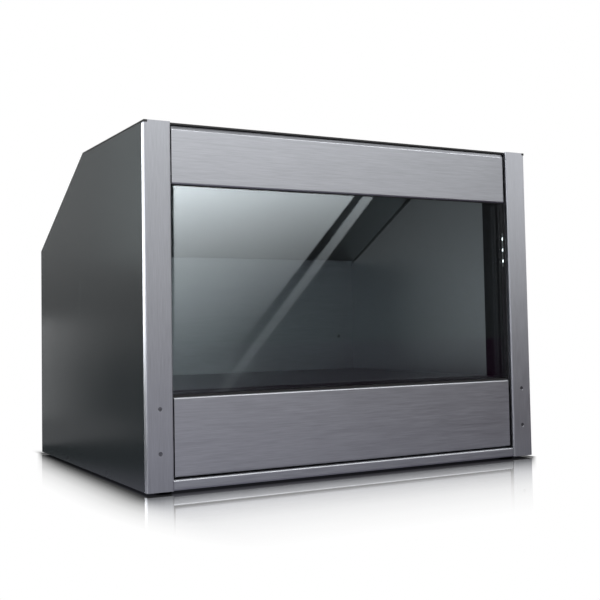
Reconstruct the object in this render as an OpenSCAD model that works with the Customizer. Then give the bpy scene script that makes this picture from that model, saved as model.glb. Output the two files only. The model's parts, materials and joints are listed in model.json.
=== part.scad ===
// Countertop display cabinet: an insulated, warmed steel case with a double-glazed front,
// a folded post at each front corner and a lift-up lid on its sloping back.
// Millimetres. +X is right, the glass faces -Y and +Z is up.
// The origin is on the counter, under the middle of the case.

/* [Overall] */
// Width over the side panels
cabinet_w = 800; // [640:10:1200]
// Depth from the faces of the posts to the rear edges of the sides
cabinet_d = 640; // [600:10:800]
// Height from the counter to the top
cabinet_h = 600; // [560:10:720]
// Depth of the flat top, from the faces of the posts
top_d = 331; // [280:1:400]
// Height of the knee, where the slope meets the upright back
knee_z = 435; // [400:1:480]

/* [Walls] */
// Thickness of an insulated side wall
side_wall = 33; // [28:0.5:45]
// Thickness of the insulated rear wall, with the step behind it
rear_wall = 46; // [40:1:60]
// Thickness of the insulated roof
roof_wall = 40; // [32:1:60]
// Thickness of the outer skins
skin_t = 1.5; // [1.2:0.1:2]
// Thickness of the inner liners
liner_t = 1; // [0.8:0.1:1.5]
// Outer radius of the bends in the sheet metal
bend_r = 3; // [2.2:0.1:4]
// Height of the rubber feet below the base
foot_h = 3.5; // [3:0.5:12]
// Radius of a rubber foot
foot_r = 14; // [10:1:20]

/* [Front] */
// Width of a corner post
post_w = 46; // [40:1:60]
// Distance that the posts stand forward of the fascias
post_proud = 7; // [3:0.5:8]
// Length of the outer return of a post along the side
post_return = 12; // [10:1:20]
// Gap between a post and the end of a fascia
fascia_gap = 4; // [1:0.5:5]
// Height of the lower edge of the window
window_z0 = 152; // [140:1:180]
// Height of the upper edge of the window
window_z1 = 499; // [440:1:505]
// Height of the bottom rail
rail_h = 17.3; // [14:0.1:24]
// Gap between the rail and the bottom fascia
rail_gap = 2.8; // [1:0.1:5]
// Height of the black strip along the front of the top
top_trim_h = 3.6; // [2.4:0.1:5]
// Height of the sloping band along the top of the upper fascia
chamfer_h = 7.5; // [4:0.5:12]
// Depth of the sloping band
chamfer_d = 3.8; // [2:0.1:6]
// Heights of the two countersunk screws in each post
post_screw_z = [64, 135];
// Places along each side of the two screws that hold the base pan
base_screw_y = [-123, 123];

/* [Glazing] */
// Thickness of a pane
pane_t = 4; // [3:0.5:6]
// Gap between the panes
pane_gap = 6; // [6:1:10]
// Overlap of the glazed unit behind the window's edges
glass_lap = 12; // [10:1:13]
// Width of the rubber lip that shows round the window
lip_w = 2.5; // [1.5:0.5:4]
// Thickness of the rubber lips
lip_t = 1.3; // [1:0.1:2]

/* [Inside] */
// Depth of the black strip that divides the warm liner from the cold front
breaker_d = 91; // [60:1:110]
// Height of the display deck's top
deck_z = 157.5; // [150:0.5:190]
// Height of the floor of the air duct under the deck
plenum_z = 46; // [40:1:60]
// Depth of the electrical bay behind the duct
bay_d = 115; // [110:1:140]
// Pitch of the lamp's diodes
led_pitch = 22; // [18:1:30]
// Height of the middle diode
led_z = 408.6; // [300:0.2:440]

/* [Lid] */
// Thickness of the lid's outer pan
lid_rim = 15; // [12:0.5:17]
// Whole thickness of the lid
lid_t = 38; // [28:0.5:42]
// Gap under the lid's rim for the seal
seal_gap = 3; // [2:0.5:5]
// Width of the ledge that the seal rests on
ledge_w = 13.6; // [12:0.2:18]
// Side clearance of the lid
lid_gap = 1.5; // [1:0.5:3]
// Length of the hinge
hinge_l = 700; // [400:28:1100]
// Number of knuckles along the hinge, an odd number
knuckles = 25; // [13:2:35]
// Radius of the hinge pin
pin_r = 1.5; // [1.2:0.1:2]
// Outer radius of a knuckle
knuckle_r = 3; // [2.6:0.1:3.4]
// Spacing of the handle's feet
handle_l = 140; // [100:5:200]
// Height of the handle above the lid
handle_h = 32; // [26:1:36]
// Radius of the handle's rod
handle_r = 5; // [4:0.5:6]

/* [Air] */
// Radius of the blower's wheel
wheel_r = 27; // [22:1:30]
// Length of the blower's wheel
wheel_l = 260; // [180:10:320]
// Number of blades in the wheel
blades = 24; // [16:2:32]
// Radius of the heater's tube
heater_r = 4; // [3:0.5:5]

/* [Controls] */
// Depth of the niche that holds the controls
niche_depth = 13; // [12:0.5:16]
// Width of the control niche
niche_w = 250; // [240:5:280]
// Height of the control niche
niche_h = 78; // [70:1:84]
// Depth of the rear panel inside the rear edges of the sides
rear_recess = 6; // [5:0.5:8]

/* [Hidden] */
$fn = 48;
tiny = 0.01;
w2 = cabinet_w / 2;
front_y = -cabinet_d / 2;
back_y = cabinet_d / 2;
slope_y = front_y + top_d;
slope_a = atan2(cabinet_h - knee_z, back_y - slope_y);
slope_l = norm([cabinet_h - knee_z, back_y - slope_y]);

// A point of the side view, given by its distance down the slope and its height off it.
function on_slope(s, n) = [
  slope_y + s * cos(slope_a) + n * sin(slope_a),
  cabinet_h - s * sin(slope_a) + n * cos(slope_a)
];
// The distance down the slope at which a line n off the slope reaches depth y.
function slope_s(y, n) = (y - slope_y - n * sin(slope_a)) / cos(slope_a);

// Black edging of the side panels
trim_h = 3;
trim_w = 4;
trim_leg = rear_recess - trim_h + 1;
trim_leg_t = 2;
panel_x = w2 - trim_w - 0.3;

// Front
post_in = w2 - post_w;
post_seam = 0.4;
post_notch = [6, 4.3];
fascia_y = front_y + post_proud;
fascia_x = post_in - fascia_gap;
rail_y = front_y + 3;
rail_z1 = foot_h + rail_h;
base_screw_z = foot_h + 8;
fascia_z0 = rail_z1 + rail_gap;
fascia_z1 = cabinet_h - top_trim_h;
top_y = front_y + 16;
lip_y = fascia_y + 3.7;
screw_r = 2;
screw_l = 8;
sink_depth = 1.3;
screw_head_r = 3.8;

// Glazed unit
glass_y = lip_y + lip_t;
glass_y1 = glass_y + 2 * pane_t + pane_gap;
glass_x = post_in + glass_lap;
glass_z0 = window_z0 - glass_lap;
glass_z1 = window_z1 + glass_lap;
spacer_w = 6;
gasket_y1 = glass_y1 + 1.5;
gasket_wall = 3;

// Cavity
liner_x = w2 - side_wall;
gasket_x = max(glass_x + gasket_wall, liner_x + 2);
breaker_y = front_y + breaker_d;
breaker_t = 7;
rear_y = back_y - rear_wall;
bracket_in = 42;
bracket_up = 80;
bracket_slot = [14, 4];
bracket_slot_up = 46;
bracket_room = 16;
roof_z = cabinet_h - roof_wall;
panel_y = back_y - rear_recess;
bay_y = panel_y - bay_d;
duct_y0 = breaker_y - 3;
duct_y1 = bay_y - 20;
shelf_z = deck_z - 9.5;
deck_t = 1.2;

// Lid and ledge
seal_n = -lid_rim - seal_gap;
hinge_y = slope_y;
hinge_z = cabinet_h - knuckle_r - 0.4;
leaf_t = 1.2;
leaf_out = knuckle_r + 0.4;
leaf_h = 12;
knuckle_l = hinge_l / knuckles;
ledge_s0 = slope_s(hinge_y - leaf_out + 1, seal_n);
ledge_s1 = ledge_s0 + ledge_w;
plug_s0 = ledge_s1 + 3;
rear_ledge_s = slope_s(rear_y, seal_n);
plug_s1 = rear_ledge_s - 5;
plug_x = liner_x - 4.5;
lid_x = w2 - trim_w - lid_gap;
lid_y0 = hinge_y + leaf_out;
lid_s1 = slope_l - 4;

// Lamps
led_size = [4, 7, 66];
led_y = gasket_y1 + led_size[1] / 2;
lens_r = 2.9;
lens_h = 1.3;
lens_ball = (lens_r * lens_r + lens_h * lens_h) / (2 * lens_h);

// Air duct and blower
tray_bend = 2;
wheel_y = duct_y1 - wheel_r - 22;
wheel_z = plenum_z + wheel_r + 18;
shaft_r = 3;
run_fit = 0.05;
blower_x = wheel_l / 2 + 6;
heater_z = plenum_z + 30;
heater_x = 230;
heater_pitch = 50;
heater_y = duct_y0 + 70;
heater_runs = 4;

// Rear panel, niche and cover
sill_t = 4;
rear_fold = 6;
sill_s0 = slope_s(panel_y - 22, seal_n);
sill_s1 = slope_s(panel_y, seal_n) - rear_fold - 0.1;
cover_t = 1.2;
niche_x = -210;
niche_z = 74;
niche_r = 8;
niche_floor_y = panel_y - niche_depth;
cover_x = 120;
cover_w = 300;
cover_h = 90;
cover_z = 74;
louvre_r = 4;
louvre_l = 110;
louvre_rows = 6;
louvre_pitch = 12;
controller_x = niche_x + 70;
bezel = [76, 34, 5];
rocker_x = niche_x - 10;
inlet_x = niche_x - 80;
button_r = 3.4;
rocker_tilt = 7;
rocker_y = niche_floor_y + cover_t - 3;

// ---------- Sections ----------

function unit(v) = v / norm(v);
function left_of(v) = [-v[1], v[0]];

// The arc of radius r that rounds corner b of the path a, b, c.
function fillet(a, b, c, r) =
  let (
    u = unit(a - b),
    w = unit(c - b),
    half = acos(u * w) / 2,
    centre = b + unit(u + w) * r / sin(half),
    from = b + u * r / tan(half) - centre,
    to = b + w * r / tan(half) - centre,
    start = atan2(from[1], from[0]),
    turn = atan2(to[1], to[0]) - start,
    sweep = turn > 180 ? turn - 360 : turn < -180 ? turn + 360 : turn,
    steps = max(2, ceil(abs(sweep) / 11))
  )
  [for (i = [0:steps]) centre + r * [cos(start + sweep * i / steps), sin(start + sweep * i / steps)]];

// An open path with each inner corner rounded to radius r.
function rounded_path(p, r) = [
  for (i = [0:len(p) - 1])
    each (i == 0 || i == len(p) - 1) ? [p[i]] : fillet(p[i - 1], p[i], p[i + 1], r)
];

// A closed outline with every corner rounded to radius r.
function rounded_outline(p, r) = [
  for (i = [0:len(p) - 1])
    each fillet(p[(i + len(p) - 1) % len(p)], p[i], p[(i + 1) % len(p)], r)
];

// The path moved to its left by d, or to its right where d is negative.
function moved_path(p, d) = [
  for (i = [0:len(p) - 1])
    let (
      before = left_of(unit(i == 0 ? p[1] - p[0] : p[i] - p[i - 1])),
      after = left_of(unit(i == len(p) - 1 ? p[i] - p[i - 1] : p[i + 1] - p[i]))
    )
    p[i] + d * (before + after) / (1 + before * after)
];

// The section of a folded sheet: p is its outer line, t its thickness to the left of p.
function folded(p, t, r = bend_r) =
  let (outer = rounded_path(p, r), inner = moved_path(outer, t))
  concat(outer, [for (i = [len(inner) - 1:-1:0]) inner[i]]);

// The side view of the case, with each edge moved inwards.
function profile(front, top, slope, rear, bottom) =
  let (
    y0 = front_y + front,
    y1 = back_y - rear,
    z1 = cabinet_h - top,
    drop = slope / cos(slope_a)
  )
  [
    [y0, bottom],
    [y0, z1],
    [slope_y + (top - drop) / tan(slope_a), z1],
    [y1, cabinet_h - (y1 - slope_y) * tan(slope_a) - drop],
    [y1, bottom]
  ];

// Carries a side view (y, z) from x0 to x1.
module across(x0, x1) {
  translate([x0, 0, 0])
    rotate([90, 0, 90])
      linear_extrude(x1 - x0) children();
}

// Carries a front view (x, z) from y0 to y1.
module along(y0, y1) {
  translate([0, y1, 0])
    rotate([90, 0, 0])
      linear_extrude(y1 - y0) children();
}

// Carries a plan (x, y) from z0 to z1.
module upright(z0, z1) {
  translate([0, 0, z0])
    linear_extrude(z1 - z0) children();
}

// Places a piece on the slope: x across, y down the slope, z off it.
module at_slope() {
  translate([0, slope_y, cabinet_h])
    rotate([-slope_a, 0, 0]) children();
}

module box(from, to) {
  translate(from) cube(to - from);
}

module mirrored() {
  mirror([1, 0, 0]) children();
}

// A rectangle with rounded corners, centred on the origin.
module plate_outline(w, h, r) {
  square([w - 2 * r, h], center = true);
  square([w, h - 2 * r], center = true);
  for (sx = [-1, 1], sy = [-1, 1])
    translate([sx * (w / 2 - r), sy * (h / 2 - r)]) circle(r);
}

// A hole or shank along Y.
module rod_y(x, z, y0, y1, r, r2 = undef) {
  translate([x, y0, z])
    rotate([-90, 0, 0]) cylinder(h = y1 - y0, r1 = r, r2 = is_undef(r2) ? r : r2);
}

// A shaft or bore along X.
module rod_x(y, z, x0, x1, r) {
  translate([x0, y, z])
    rotate([0, 90, 0]) cylinder(h = x1 - x0, r = r);
}

// ---------- Base ----------

function foot_places() = [for (sx = [-1, 1], sy = [-1, 1]) [sx * (w2 - 40), sy * (cabinet_d / 2 - 35)]];

module base_pan() color("gray") {
  x = w2 - skin_t;
  difference() {
    along(top_y, panel_y - skin_t - 1.5)
      polygon(folded([[-x, foot_h + 25], [-x, foot_h], [x, foot_h], [x, foot_h + 25]], skin_t));
    for (p = foot_places())
      translate([p[0], p[1], foot_h - 1]) cylinder(r = foot_r / 2, h = skin_t + 2);
    for (sx = [-1, 1], y = base_screw_y)
      translate([sx * w2, y, base_screw_z]) rotate([0, -sx * 90, 0]) sunk_hole();
  }
}

module feet() color("dimgray") {
  for (p = foot_places())
    translate([p[0], p[1], 0]) {
      cylinder(r1 = foot_r - 1, r2 = foot_r, h = 1);
      translate([0, 0, 1]) cylinder(r = foot_r, h = foot_h - 1);
      cylinder(r = foot_r / 2, h = foot_h + skin_t);
      translate([0, 0, foot_h + skin_t]) cylinder(r1 = foot_r / 2 + 1.5, r2 = foot_r / 2 - 1, h = 3);
    }
}

// ---------- Outer skins ----------

module side_panel() {
  seam_y = front_y + post_return + post_seam;
  in = skin_t;
  difference() {
    union() {
      across(-w2, -w2 + skin_t)
        polygon(profile(post_return + post_seam + in + 3, trim_h, trim_h, trim_h, foot_h));
      // The front edge steps in behind the post and turns across it.
      upright(foot_h, cabinet_h - post_notch[1])
        polygon(folded([
          [-w2, seam_y + in + 4],
          [-w2, seam_y + in],
          [-w2 + in, seam_y],
          [-w2 + in, front_y + in],
          [-post_in - 18, front_y + in]
        ], skin_t, skin_t + 0.4));
      // The flange that the rear panel is screwed to.
      box([-w2 + tiny, panel_y - 2 * skin_t, foot_h + 28], [-w2 + 18, panel_y - skin_t, knee_z - 30]);
    }
    for (z = post_screw_z)
      translate([-w2 + post_w / 2, front_y, z]) rotate([-90, 0, 0]) sunk_hole();
    for (y = base_screw_y)
      translate([-w2, y, base_screw_z]) rotate([0, 90, 0]) sunk_hole();
    rear_screw_holes();
  }
}

module left_side_panel() color([0.32, 0.33, 0.34]) side_panel();
module right_side_panel() color([0.32, 0.33, 0.34]) mirrored() side_panel();

module corner_post() {
  difference() {
    union() {
      upright(foot_h, cabinet_h - tiny)
        polygon(folded([
          [-w2, front_y + post_return],
          [-w2, front_y],
          [-post_in, front_y],
          [-post_in, lip_y]
        ], skin_t, bend_r));
      // The welded top closes the post a little behind its face.
      upright(cabinet_h - skin_t, cabinet_h)
        polygon([
          [-w2 + 0.5, top_y - 0.3],
          [-w2 + 0.5, front_y + 0.6],
          [-post_in - 0.5, front_y + 0.6],
          [-post_in - 0.5, top_y - 0.3]
        ]);
    }
    box([-w2 - 1, front_y - 1, cabinet_h - post_notch[1]],
        [-w2 + post_notch[0], front_y + post_return + 1, cabinet_h + 1]);
    box([-w2 - 1, front_y + post_return, cabinet_h - 5], [-w2 + trim_w + 0.3, top_y + 1, cabinet_h + 1]);
    for (z = post_screw_z)
      translate([-w2 + post_w / 2, front_y, z]) rotate([-90, 0, 0]) sunk_hole();
  }
}

module left_corner_post() color([0.66, 0.66, 0.68]) corner_post();
module right_corner_post() color([0.66, 0.66, 0.68]) mirrored() corner_post();

module top_fascia() color([0.68, 0.68, 0.7]) {
  across(-fascia_x, fascia_x)
    polygon(folded([
      [lip_y, window_z1],
      [fascia_y, window_z1],
      [fascia_y, fascia_z1 - chamfer_h],
      [fascia_y + chamfer_d, fascia_z1],
      [top_y - 0.2, fascia_z1]
    ], -skin_t));
}

module bottom_fascia() color([0.58, 0.56, 0.58]) {
  across(-fascia_x, fascia_x)
    polygon(folded([
      [lip_y, window_z0],
      [fascia_y, window_z0],
      [fascia_y, fascia_z0],
      [top_y, fascia_z0]
    ], skin_t));
}

module bottom_rail() color([0.58, 0.56, 0.58]) {
  x = post_in - 0.5;
  across(-x, x)
    polygon(folded([[top_y, rail_z1], [rail_y, rail_z1], [rail_y, foot_h], [top_y, foot_h]], skin_t));
}

module top_panel() color([0.6, 0.6, 0.62]) {
  fold_y = hinge_y - leaf_out;
  across(-panel_x, panel_x)
    polygon(folded([
      [top_y, cabinet_h - 12],
      [top_y, cabinet_h],
      [fold_y, cabinet_h],
      [fold_y, cabinet_h - leaf_h - 6]
    ], -skin_t));
}

// The outline of the black edging along the top, the slope and the back, from depth a to depth b.
function edging(front, a, b) =
  let (
    outer = profile(front, a, a, a, foot_h),
    inner = profile(front, b, b, b, foot_h)
  )
  [outer[1], outer[2], outer[3], outer[4], inner[4], inner[3], inner[2], inner[1]];

module edge_trim() {
  front = post_return + post_seam;
  across(-w2, -w2 + trim_w) polygon(edging(front, 0, trim_h));
  across(-w2 + skin_t, -w2 + skin_t + trim_leg_t)
    polygon(edging(front + skin_t + 4, trim_h - tiny, trim_h + trim_leg));
  // The front end fills the notch in the top of the post.
  box([-w2, front_y + 0.3, cabinet_h - post_notch[1] + 0.2],
      [-w2 + post_notch[0] - 0.2, front_y + post_return - 0.2, cabinet_h]);
  box([-w2, front_y + post_return - 0.3, cabinet_h - trim_h],
      [-w2 + trim_w, front_y + post_return + post_seam + tiny, cabinet_h]);
}

module left_edge_trim() color([0.07, 0.07, 0.08]) edge_trim();
module right_edge_trim() color([0.07, 0.07, 0.08]) mirrored() edge_trim();

module top_edge_trim() color([0.07, 0.07, 0.08]) {
  x = post_in - 0.6;
  difference() {
    across(-x, x)
      polygon(rounded_outline([
        [fascia_y + chamfer_d - 3, fascia_z1],
        [fascia_y + chamfer_d - 3, cabinet_h],
        [top_y - 0.1, cabinet_h],
        [top_y - 0.1, fascia_z1]
      ], 0.8));
    // The three grooves that let the strip follow the sheet.
    for (i = [0:2])
      across(-x - 1, x + 1)
        translate([fascia_y + chamfer_d + 1.5 + 2.2 * i, fascia_z1]) square([0.8, 1.2]);
  }
}

// ---------- Rear ----------

function rear_screw_x() = [-w2 + 11, w2 - 11];
function rear_screw_zs() = [60, (60 + knee_z - 45) / 2, knee_z - 45];

module rear_screw_holes() {
  for (x = rear_screw_x(), z = rear_screw_zs())
    rod_y(x, z, panel_y - screw_l - 1, panel_y + 1, screw_r);
}

function niche_screws() = [for (sx = [-1, 1], sz = [-1, 1])
  [niche_x + sx * (niche_w / 2 + 6), niche_z + sz * (niche_h / 2 - 6)]];
function cover_screws() = [for (sx = [-1, 1], sz = [-1, 1])
  [cover_x + sx * (cover_w / 2 - 6), cover_z + sz * (cover_h / 2 - 6)]];

module rear_panel() color([0.5, 0.5, 0.52]) {
  top = on_slope(slope_s(panel_y, seal_n), seal_n);
  difference() {
    across(-panel_x, panel_x)
      polygon(folded([
        [panel_y, foot_h + 0.5],
        top,
        on_slope(slope_s(panel_y, seal_n) - rear_fold, seal_n)
      ], skin_t, 2.2));
    along(panel_y - 4, panel_y + 1) {
      translate([niche_x, niche_z]) plate_outline(niche_w + 0.6, niche_h + 0.6, niche_r + 0.3);
      translate([cover_x, cover_z]) plate_outline(cover_w - 24, cover_h - 14, 6);
    }
    rear_screw_holes();
    for (p = concat(niche_screws(), cover_screws()))
      rod_y(p[0], p[1], panel_y - 4, panel_y + 1, screw_r);
  }
}

// One pressed louvre: a quarter-round hood with rounded ends, open along its lower edge.
module louvre(r) {
  l = louvre_l - 2 * louvre_r;
  intersection() {
    union() {
      rod_x(0, 0, -l / 2, l / 2, r);
      for (sx = [-1, 1])
        translate([sx * l / 2, 0, 0]) sphere(r);
    }
    translate([-louvre_l, -cover_t, 0]) cube([2 * louvre_l, 2 * louvre_r, 2 * louvre_r]);
  }
}

module louvre_places() {
  for (sx = [-1, 1], i = [0:louvre_rows - 1])
    translate([
      cover_x + sx * (louvre_l / 2 + 12),
      panel_y + cover_t,
      cover_z + (i - (louvre_rows - 1) / 2) * louvre_pitch - louvre_r / 2
    ]) children();
}

module louvre_cover() color([0.62, 0.62, 0.64]) {
  difference() {
    union() {
      along(panel_y, panel_y + cover_t)
        translate([cover_x, cover_z]) plate_outline(cover_w, cover_h, 5);
      louvre_places() louvre(louvre_r);
    }
    louvre_places() translate([0, 0, -tiny]) louvre(louvre_r - cover_t);
    for (p = cover_screws())
      rod_y(p[0], p[1], panel_y - 1, panel_y + 4, screw_r);
  }
}

module control_niche() color([0.3, 0.3, 0.31]) {
  difference() {
    union() {
      along(panel_y, panel_y + cover_t)
        translate([niche_x, niche_z]) plate_outline(niche_w + 24, niche_h + 12, 5);
      along(niche_floor_y, panel_y + tiny)
        translate([niche_x, niche_z]) plate_outline(niche_w, niche_h, niche_r);
    }
    along(niche_floor_y + cover_t, panel_y + 4)
      translate([niche_x, niche_z])
        plate_outline(niche_w - 2 * cover_t, niche_h - 2 * cover_t, niche_r - cover_t);
    along(niche_floor_y - 1, panel_y) {
      translate([controller_x, niche_z]) square([bezel[0] - 5, bezel[1] - 5], center = true);
      translate([rocker_x, niche_z]) square([20, 27], center = true);
      translate([inlet_x, niche_z]) inlet_outline(27.4, 20);
    }
    for (p = niche_screws())
      rod_y(p[0], p[1], panel_y - 1, panel_y + 4, screw_r);
    for (sx = [-1, 1])
      rod_y(inlet_x + sx * 20, niche_z, niche_floor_y - 1, niche_floor_y + 4, 1.6);
  }
}

module rear_sill() color([0.07, 0.07, 0.08]) {
  at_slope()
    box([-panel_x, sill_s0, seal_n - sill_t], [panel_x, sill_s1, seal_n]);
}

// ---------- Lined cavity ----------

// The side view of the lined cavity, down to the duct.
function cavity() = [
  [breaker_y, plenum_z],
  [breaker_y, roof_z],
  on_slope(ledge_s1, seal_n) - [(on_slope(ledge_s1, seal_n)[1] - roof_z) * tan(slope_a), 0]
    - [0, on_slope(ledge_s1, seal_n)[1] - roof_z],
  on_slope(ledge_s1, seal_n),
  on_slope(rear_ledge_s, seal_n),
  [rear_y, shelf_z],
  [duct_y1, shelf_z],
  [duct_y1, plenum_z]
];

module side_liner() {
  difference() {
    across(-liner_x - liner_t, -liner_x) polygon(cavity());
    at_slope() box([-w2, ledge_s0, seal_n - liner_t / 2], [0, 2 * slope_l, 0]);
  }
  // The edge along the slope turns out to make the ledge for the lid's seal.
  at_slope()
    box([-panel_x, ledge_s0, seal_n - liner_t], [-liner_x, rear_ledge_s, seal_n]);
}

module left_liner() color([0.55, 0.56, 0.57]) side_liner();
module right_liner() color([0.55, 0.56, 0.57]) mirrored() side_liner();

// The two screws for shelf brackets in the rear wall, each between two slots.
function shelf_fixings() = [for (sx = [-1, 1]) [sx * (liner_x - bracket_in), deck_z + bracket_up]];

// The slots above and below a bracket's screw at p, or the room behind them.
module bracket_slots(p, spare = 0) {
  for (sz = [-1, 1])
    translate([p[0], p[1] + sz * bracket_slot_up]) slot(bracket_slot[0] + spare, bracket_slot[1] + spare);
}

module rear_liner() color([0.55, 0.56, 0.57]) {
  difference() {
    across(-liner_x, liner_x)
      polygon(folded([
        [rear_y, shelf_z + liner_t],
        on_slope(rear_ledge_s, seal_n),
        on_slope(rear_ledge_s + 8, seal_n)
      ], -liner_t, 1.5));
    for (p = shelf_fixings()) {
      rod_y(p[0], p[1], rear_y - 1, rear_y + 3, screw_r);
      along(rear_y - 1, rear_y + 3) bracket_slots(p);
    }
  }
  at_slope()
    box([-panel_x, rear_ledge_s + 2.5, seal_n - liner_t], [panel_x, sill_s0, seal_n]);
}

module ceiling_liner() color([0.55, 0.56, 0.57]) {
  edge = on_slope(ledge_s1, seal_n);
  across(-liner_x, liner_x)
    polygon(folded([
      [gasket_y1, glass_z1 + gasket_wall],
      [gasket_y1, roof_z],
      [edge[0] - (edge[1] - roof_z) * tan(slope_a), roof_z],
      edge,
      on_slope(ledge_s0, seal_n)
    ], liner_t, 1.5));
}

module slot(l, w) {
  square([l - w, w], center = true);
  for (sx = [-1, 1])
    translate([sx * (l - w) / 2, 0]) circle(w / 2);
}

module display_deck() color([0.42, 0.43, 0.44]) {
  x = liner_x - 0.5;
  n = floor(2 * x / 30) - 1;
  difference() {
    across(-x, x)
      polygon(folded([
        [breaker_y + 0.5, shelf_z - 1],
        [breaker_y + 0.5, deck_z],
        [rear_y - 0.5, deck_z],
        [rear_y - 0.5, shelf_z + liner_t]
      ], -deck_t));
    upright(deck_z - 3, deck_z + 1)
      for (i = [0:n - 1], y = [breaker_y + 20, rear_y - 22])
        translate([(i - (n - 1) / 2) * 30, y]) slot(22, 5);
  }
}

// The black strip between the side liner and the glazing, with the pocket of the lamp.
module side_breaker() {
  difference() {
    union() {
      box([-liner_x - breaker_t, gasket_y1, shelf_z - 1], [-liner_x, breaker_y, roof_z]);
      box([-w2 + skin_t + 0.2, gasket_y1, foot_h + 30], [-liner_x - 1, gasket_y1 + 3, roof_z]);
    }
    led_pocket();
  }
}

module left_breaker() color([0.06, 0.06, 0.07]) side_breaker();
module right_breaker() color([0.06, 0.06, 0.07]) mirrored() side_breaker();

module front_breaker() color([0.06, 0.06, 0.07]) {
  across(-liner_x, liner_x)
    polygon([
      [gasket_y1, glass_z0 - gasket_wall - 20],
      [gasket_y1, deck_z - 0.5],
      [breaker_y, deck_z - 0.5],
      [breaker_y, deck_z - 3.5],
      [gasket_y1 + 3, deck_z - 3.5],
      [gasket_y1 + 3, glass_z0 - gasket_wall - 20]
    ]);
}

module plenum_tray() color([0.6, 0.6, 0.62]) {
  difference() {
    across(-liner_x, liner_x)
      polygon(folded([
        [duct_y0 + 14, shelf_z - 1],
        [duct_y0, shelf_z - 1],
        [duct_y0, plenum_z],
        [duct_y1, plenum_z],
        [duct_y1, shelf_z],
        [rear_y, shelf_z]
      ], liner_t, tray_bend));
    for (x = heater_leads())
      rod_y(x, heater_z, duct_y1 - 5, duct_y1 + 5, heater_r);
  }
}

// ---------- Insulation ----------

module side_insulation() {
  difference() {
    across(-w2 + skin_t, -liner_x - liner_t)
      polygon(profile(gasket_y1 - front_y + 3, trim_h + trim_leg + 3, -seal_n + liner_t,
                      rear_recess + 2 * skin_t, foot_h + 30));
    box([-liner_x - breaker_t, front_y, 0], [0, breaker_y, cabinet_h]);
    // The side of the electrical bay stays open.
    box([-w2, bay_y, 0], [0, back_y, shelf_z - 20]);
    // Room for the sill, the folded edge of the rear panel and its screws.
    at_slope() box([-w2, sill_s0, seal_n - sill_t], [0, 2 * slope_l, 0]);
    rear_screw_holes();
  }
}

module left_insulation() color([0.85, 0.8, 0.62]) side_insulation();
module right_insulation() color([0.85, 0.8, 0.62]) mirrored() side_insulation();

module rear_insulation() color([0.85, 0.8, 0.62]) {
  n = seal_n - sill_t;
  y1 = panel_y - 2 * skin_t;
  difference() {
    across(-liner_x - liner_t, liner_x + liner_t)
      polygon([
        [rear_y + liner_t, shelf_z],
        on_slope(slope_s(rear_y + liner_t, n), n),
        on_slope(slope_s(y1, n), n),
        [y1, shelf_z]
      ]);
    for (p = shelf_fixings()) {
      rod_y(p[0], p[1], rear_y, rear_y + screw_l + 1, screw_r);
      along(rear_y, rear_y + bracket_room) bracket_slots(p, 3);
    }
  }
}

module ceiling_insulation() color([0.85, 0.8, 0.62]) {
  n = seal_n - liner_t;
  top = cabinet_h - skin_t;
  y0 = top_y + skin_t;
  y1 = hinge_y - leaf_out - skin_t;
  foot = on_slope(ledge_s1, seal_n);
  z0 = roof_z + liner_t;
  across(-liner_x, liner_x)
    polygon([
      [y0, z0],
      each fillet([y0, z0], [y0, top], [y1, top], bend_r),
      each fillet([y0, top], [y1, top], [y1, z0], bend_r),
      [y1, on_slope(slope_s(y1, n), n)[1]],
      on_slope(ledge_s1 - 2, n - 0.5),
      [foot[0] - (foot[1] - roof_z) * tan(slope_a) - 3, z0]
    ]);
}

module floor_insulation() color([0.85, 0.8, 0.62]) {
  z0 = foot_h + skin_t;
  difference() {
    across(-liner_x - liner_t, liner_x + liner_t)
      polygon([
        [gasket_y1 + 3, z0],
        [gasket_y1 + 3, deck_z - 3.5],
        [duct_y0, deck_z - 3.5],
        [duct_y0, plenum_z],
        [duct_y1, plenum_z],
        each fillet([duct_y1, plenum_z], [duct_y1, shelf_z], [panel_y, shelf_z], tray_bend),
        [panel_y - 2 * skin_t, shelf_z],
        [panel_y - 2 * skin_t, shelf_z - 20],
        [bay_y, shelf_z - 20],
        [bay_y, z0]
      ]);
    for (p = foot_places())
      translate([p[0], p[1], z0 - 1]) cylinder(r = foot_r / 2 + 2.5, h = 5.5);
    for (x = heater_leads())
      rod_y(x, heater_z, duct_y1 - 1, bay_y + 1, heater_r);
    for (side = [0, 1])
      mirror([side, 0, 0])
        box([-w2, front_y, shelf_z - 1], [-liner_x, breaker_y, deck_z]);
  }
}

// ---------- Glazing ----------

module pane(y) {
  box([-glass_x, y, glass_z0], [glass_x, y + pane_t, glass_z1]);
}

module outer_glass() color([0.75, 0.85, 0.85, 0.35]) pane(glass_y);
module inner_glass() color([0.75, 0.85, 0.85, 0.35]) pane(glass_y1 - pane_t);

module glass_spacer() color([0.2, 0.2, 0.21]) {
  w = spacer_w;
  difference() {
    box([-glass_x, glass_y + pane_t, glass_z0], [glass_x, glass_y + pane_t + pane_gap, glass_z1]);
    box([-glass_x + w, glass_y, glass_z0 + w], [glass_x - w, glass_y1, glass_z1 - w]);
  }
}

module window_gasket() color([0.05, 0.05, 0.06]) {
  wall = gasket_wall;
  lip = lip_w + glass_lap;
  difference() {
    box([-gasket_x, lip_y, glass_z0 - wall], [gasket_x, gasket_y1, glass_z1 + wall]);
    box([-glass_x, glass_y, glass_z0], [glass_x, glass_y1, glass_z1]);
    box([-glass_x + lip, lip_y - 1, glass_z0 + lip + 1], [glass_x - lip, glass_y + 1, glass_z1 - lip + 1]);
    box([-glass_x + 2, glass_y, glass_z0 + 8], [glass_x - 2, gasket_y1 + 1, glass_z1 - 8]);
  }
}

// ---------- Lamps, heater, blower and probe ----------

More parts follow.
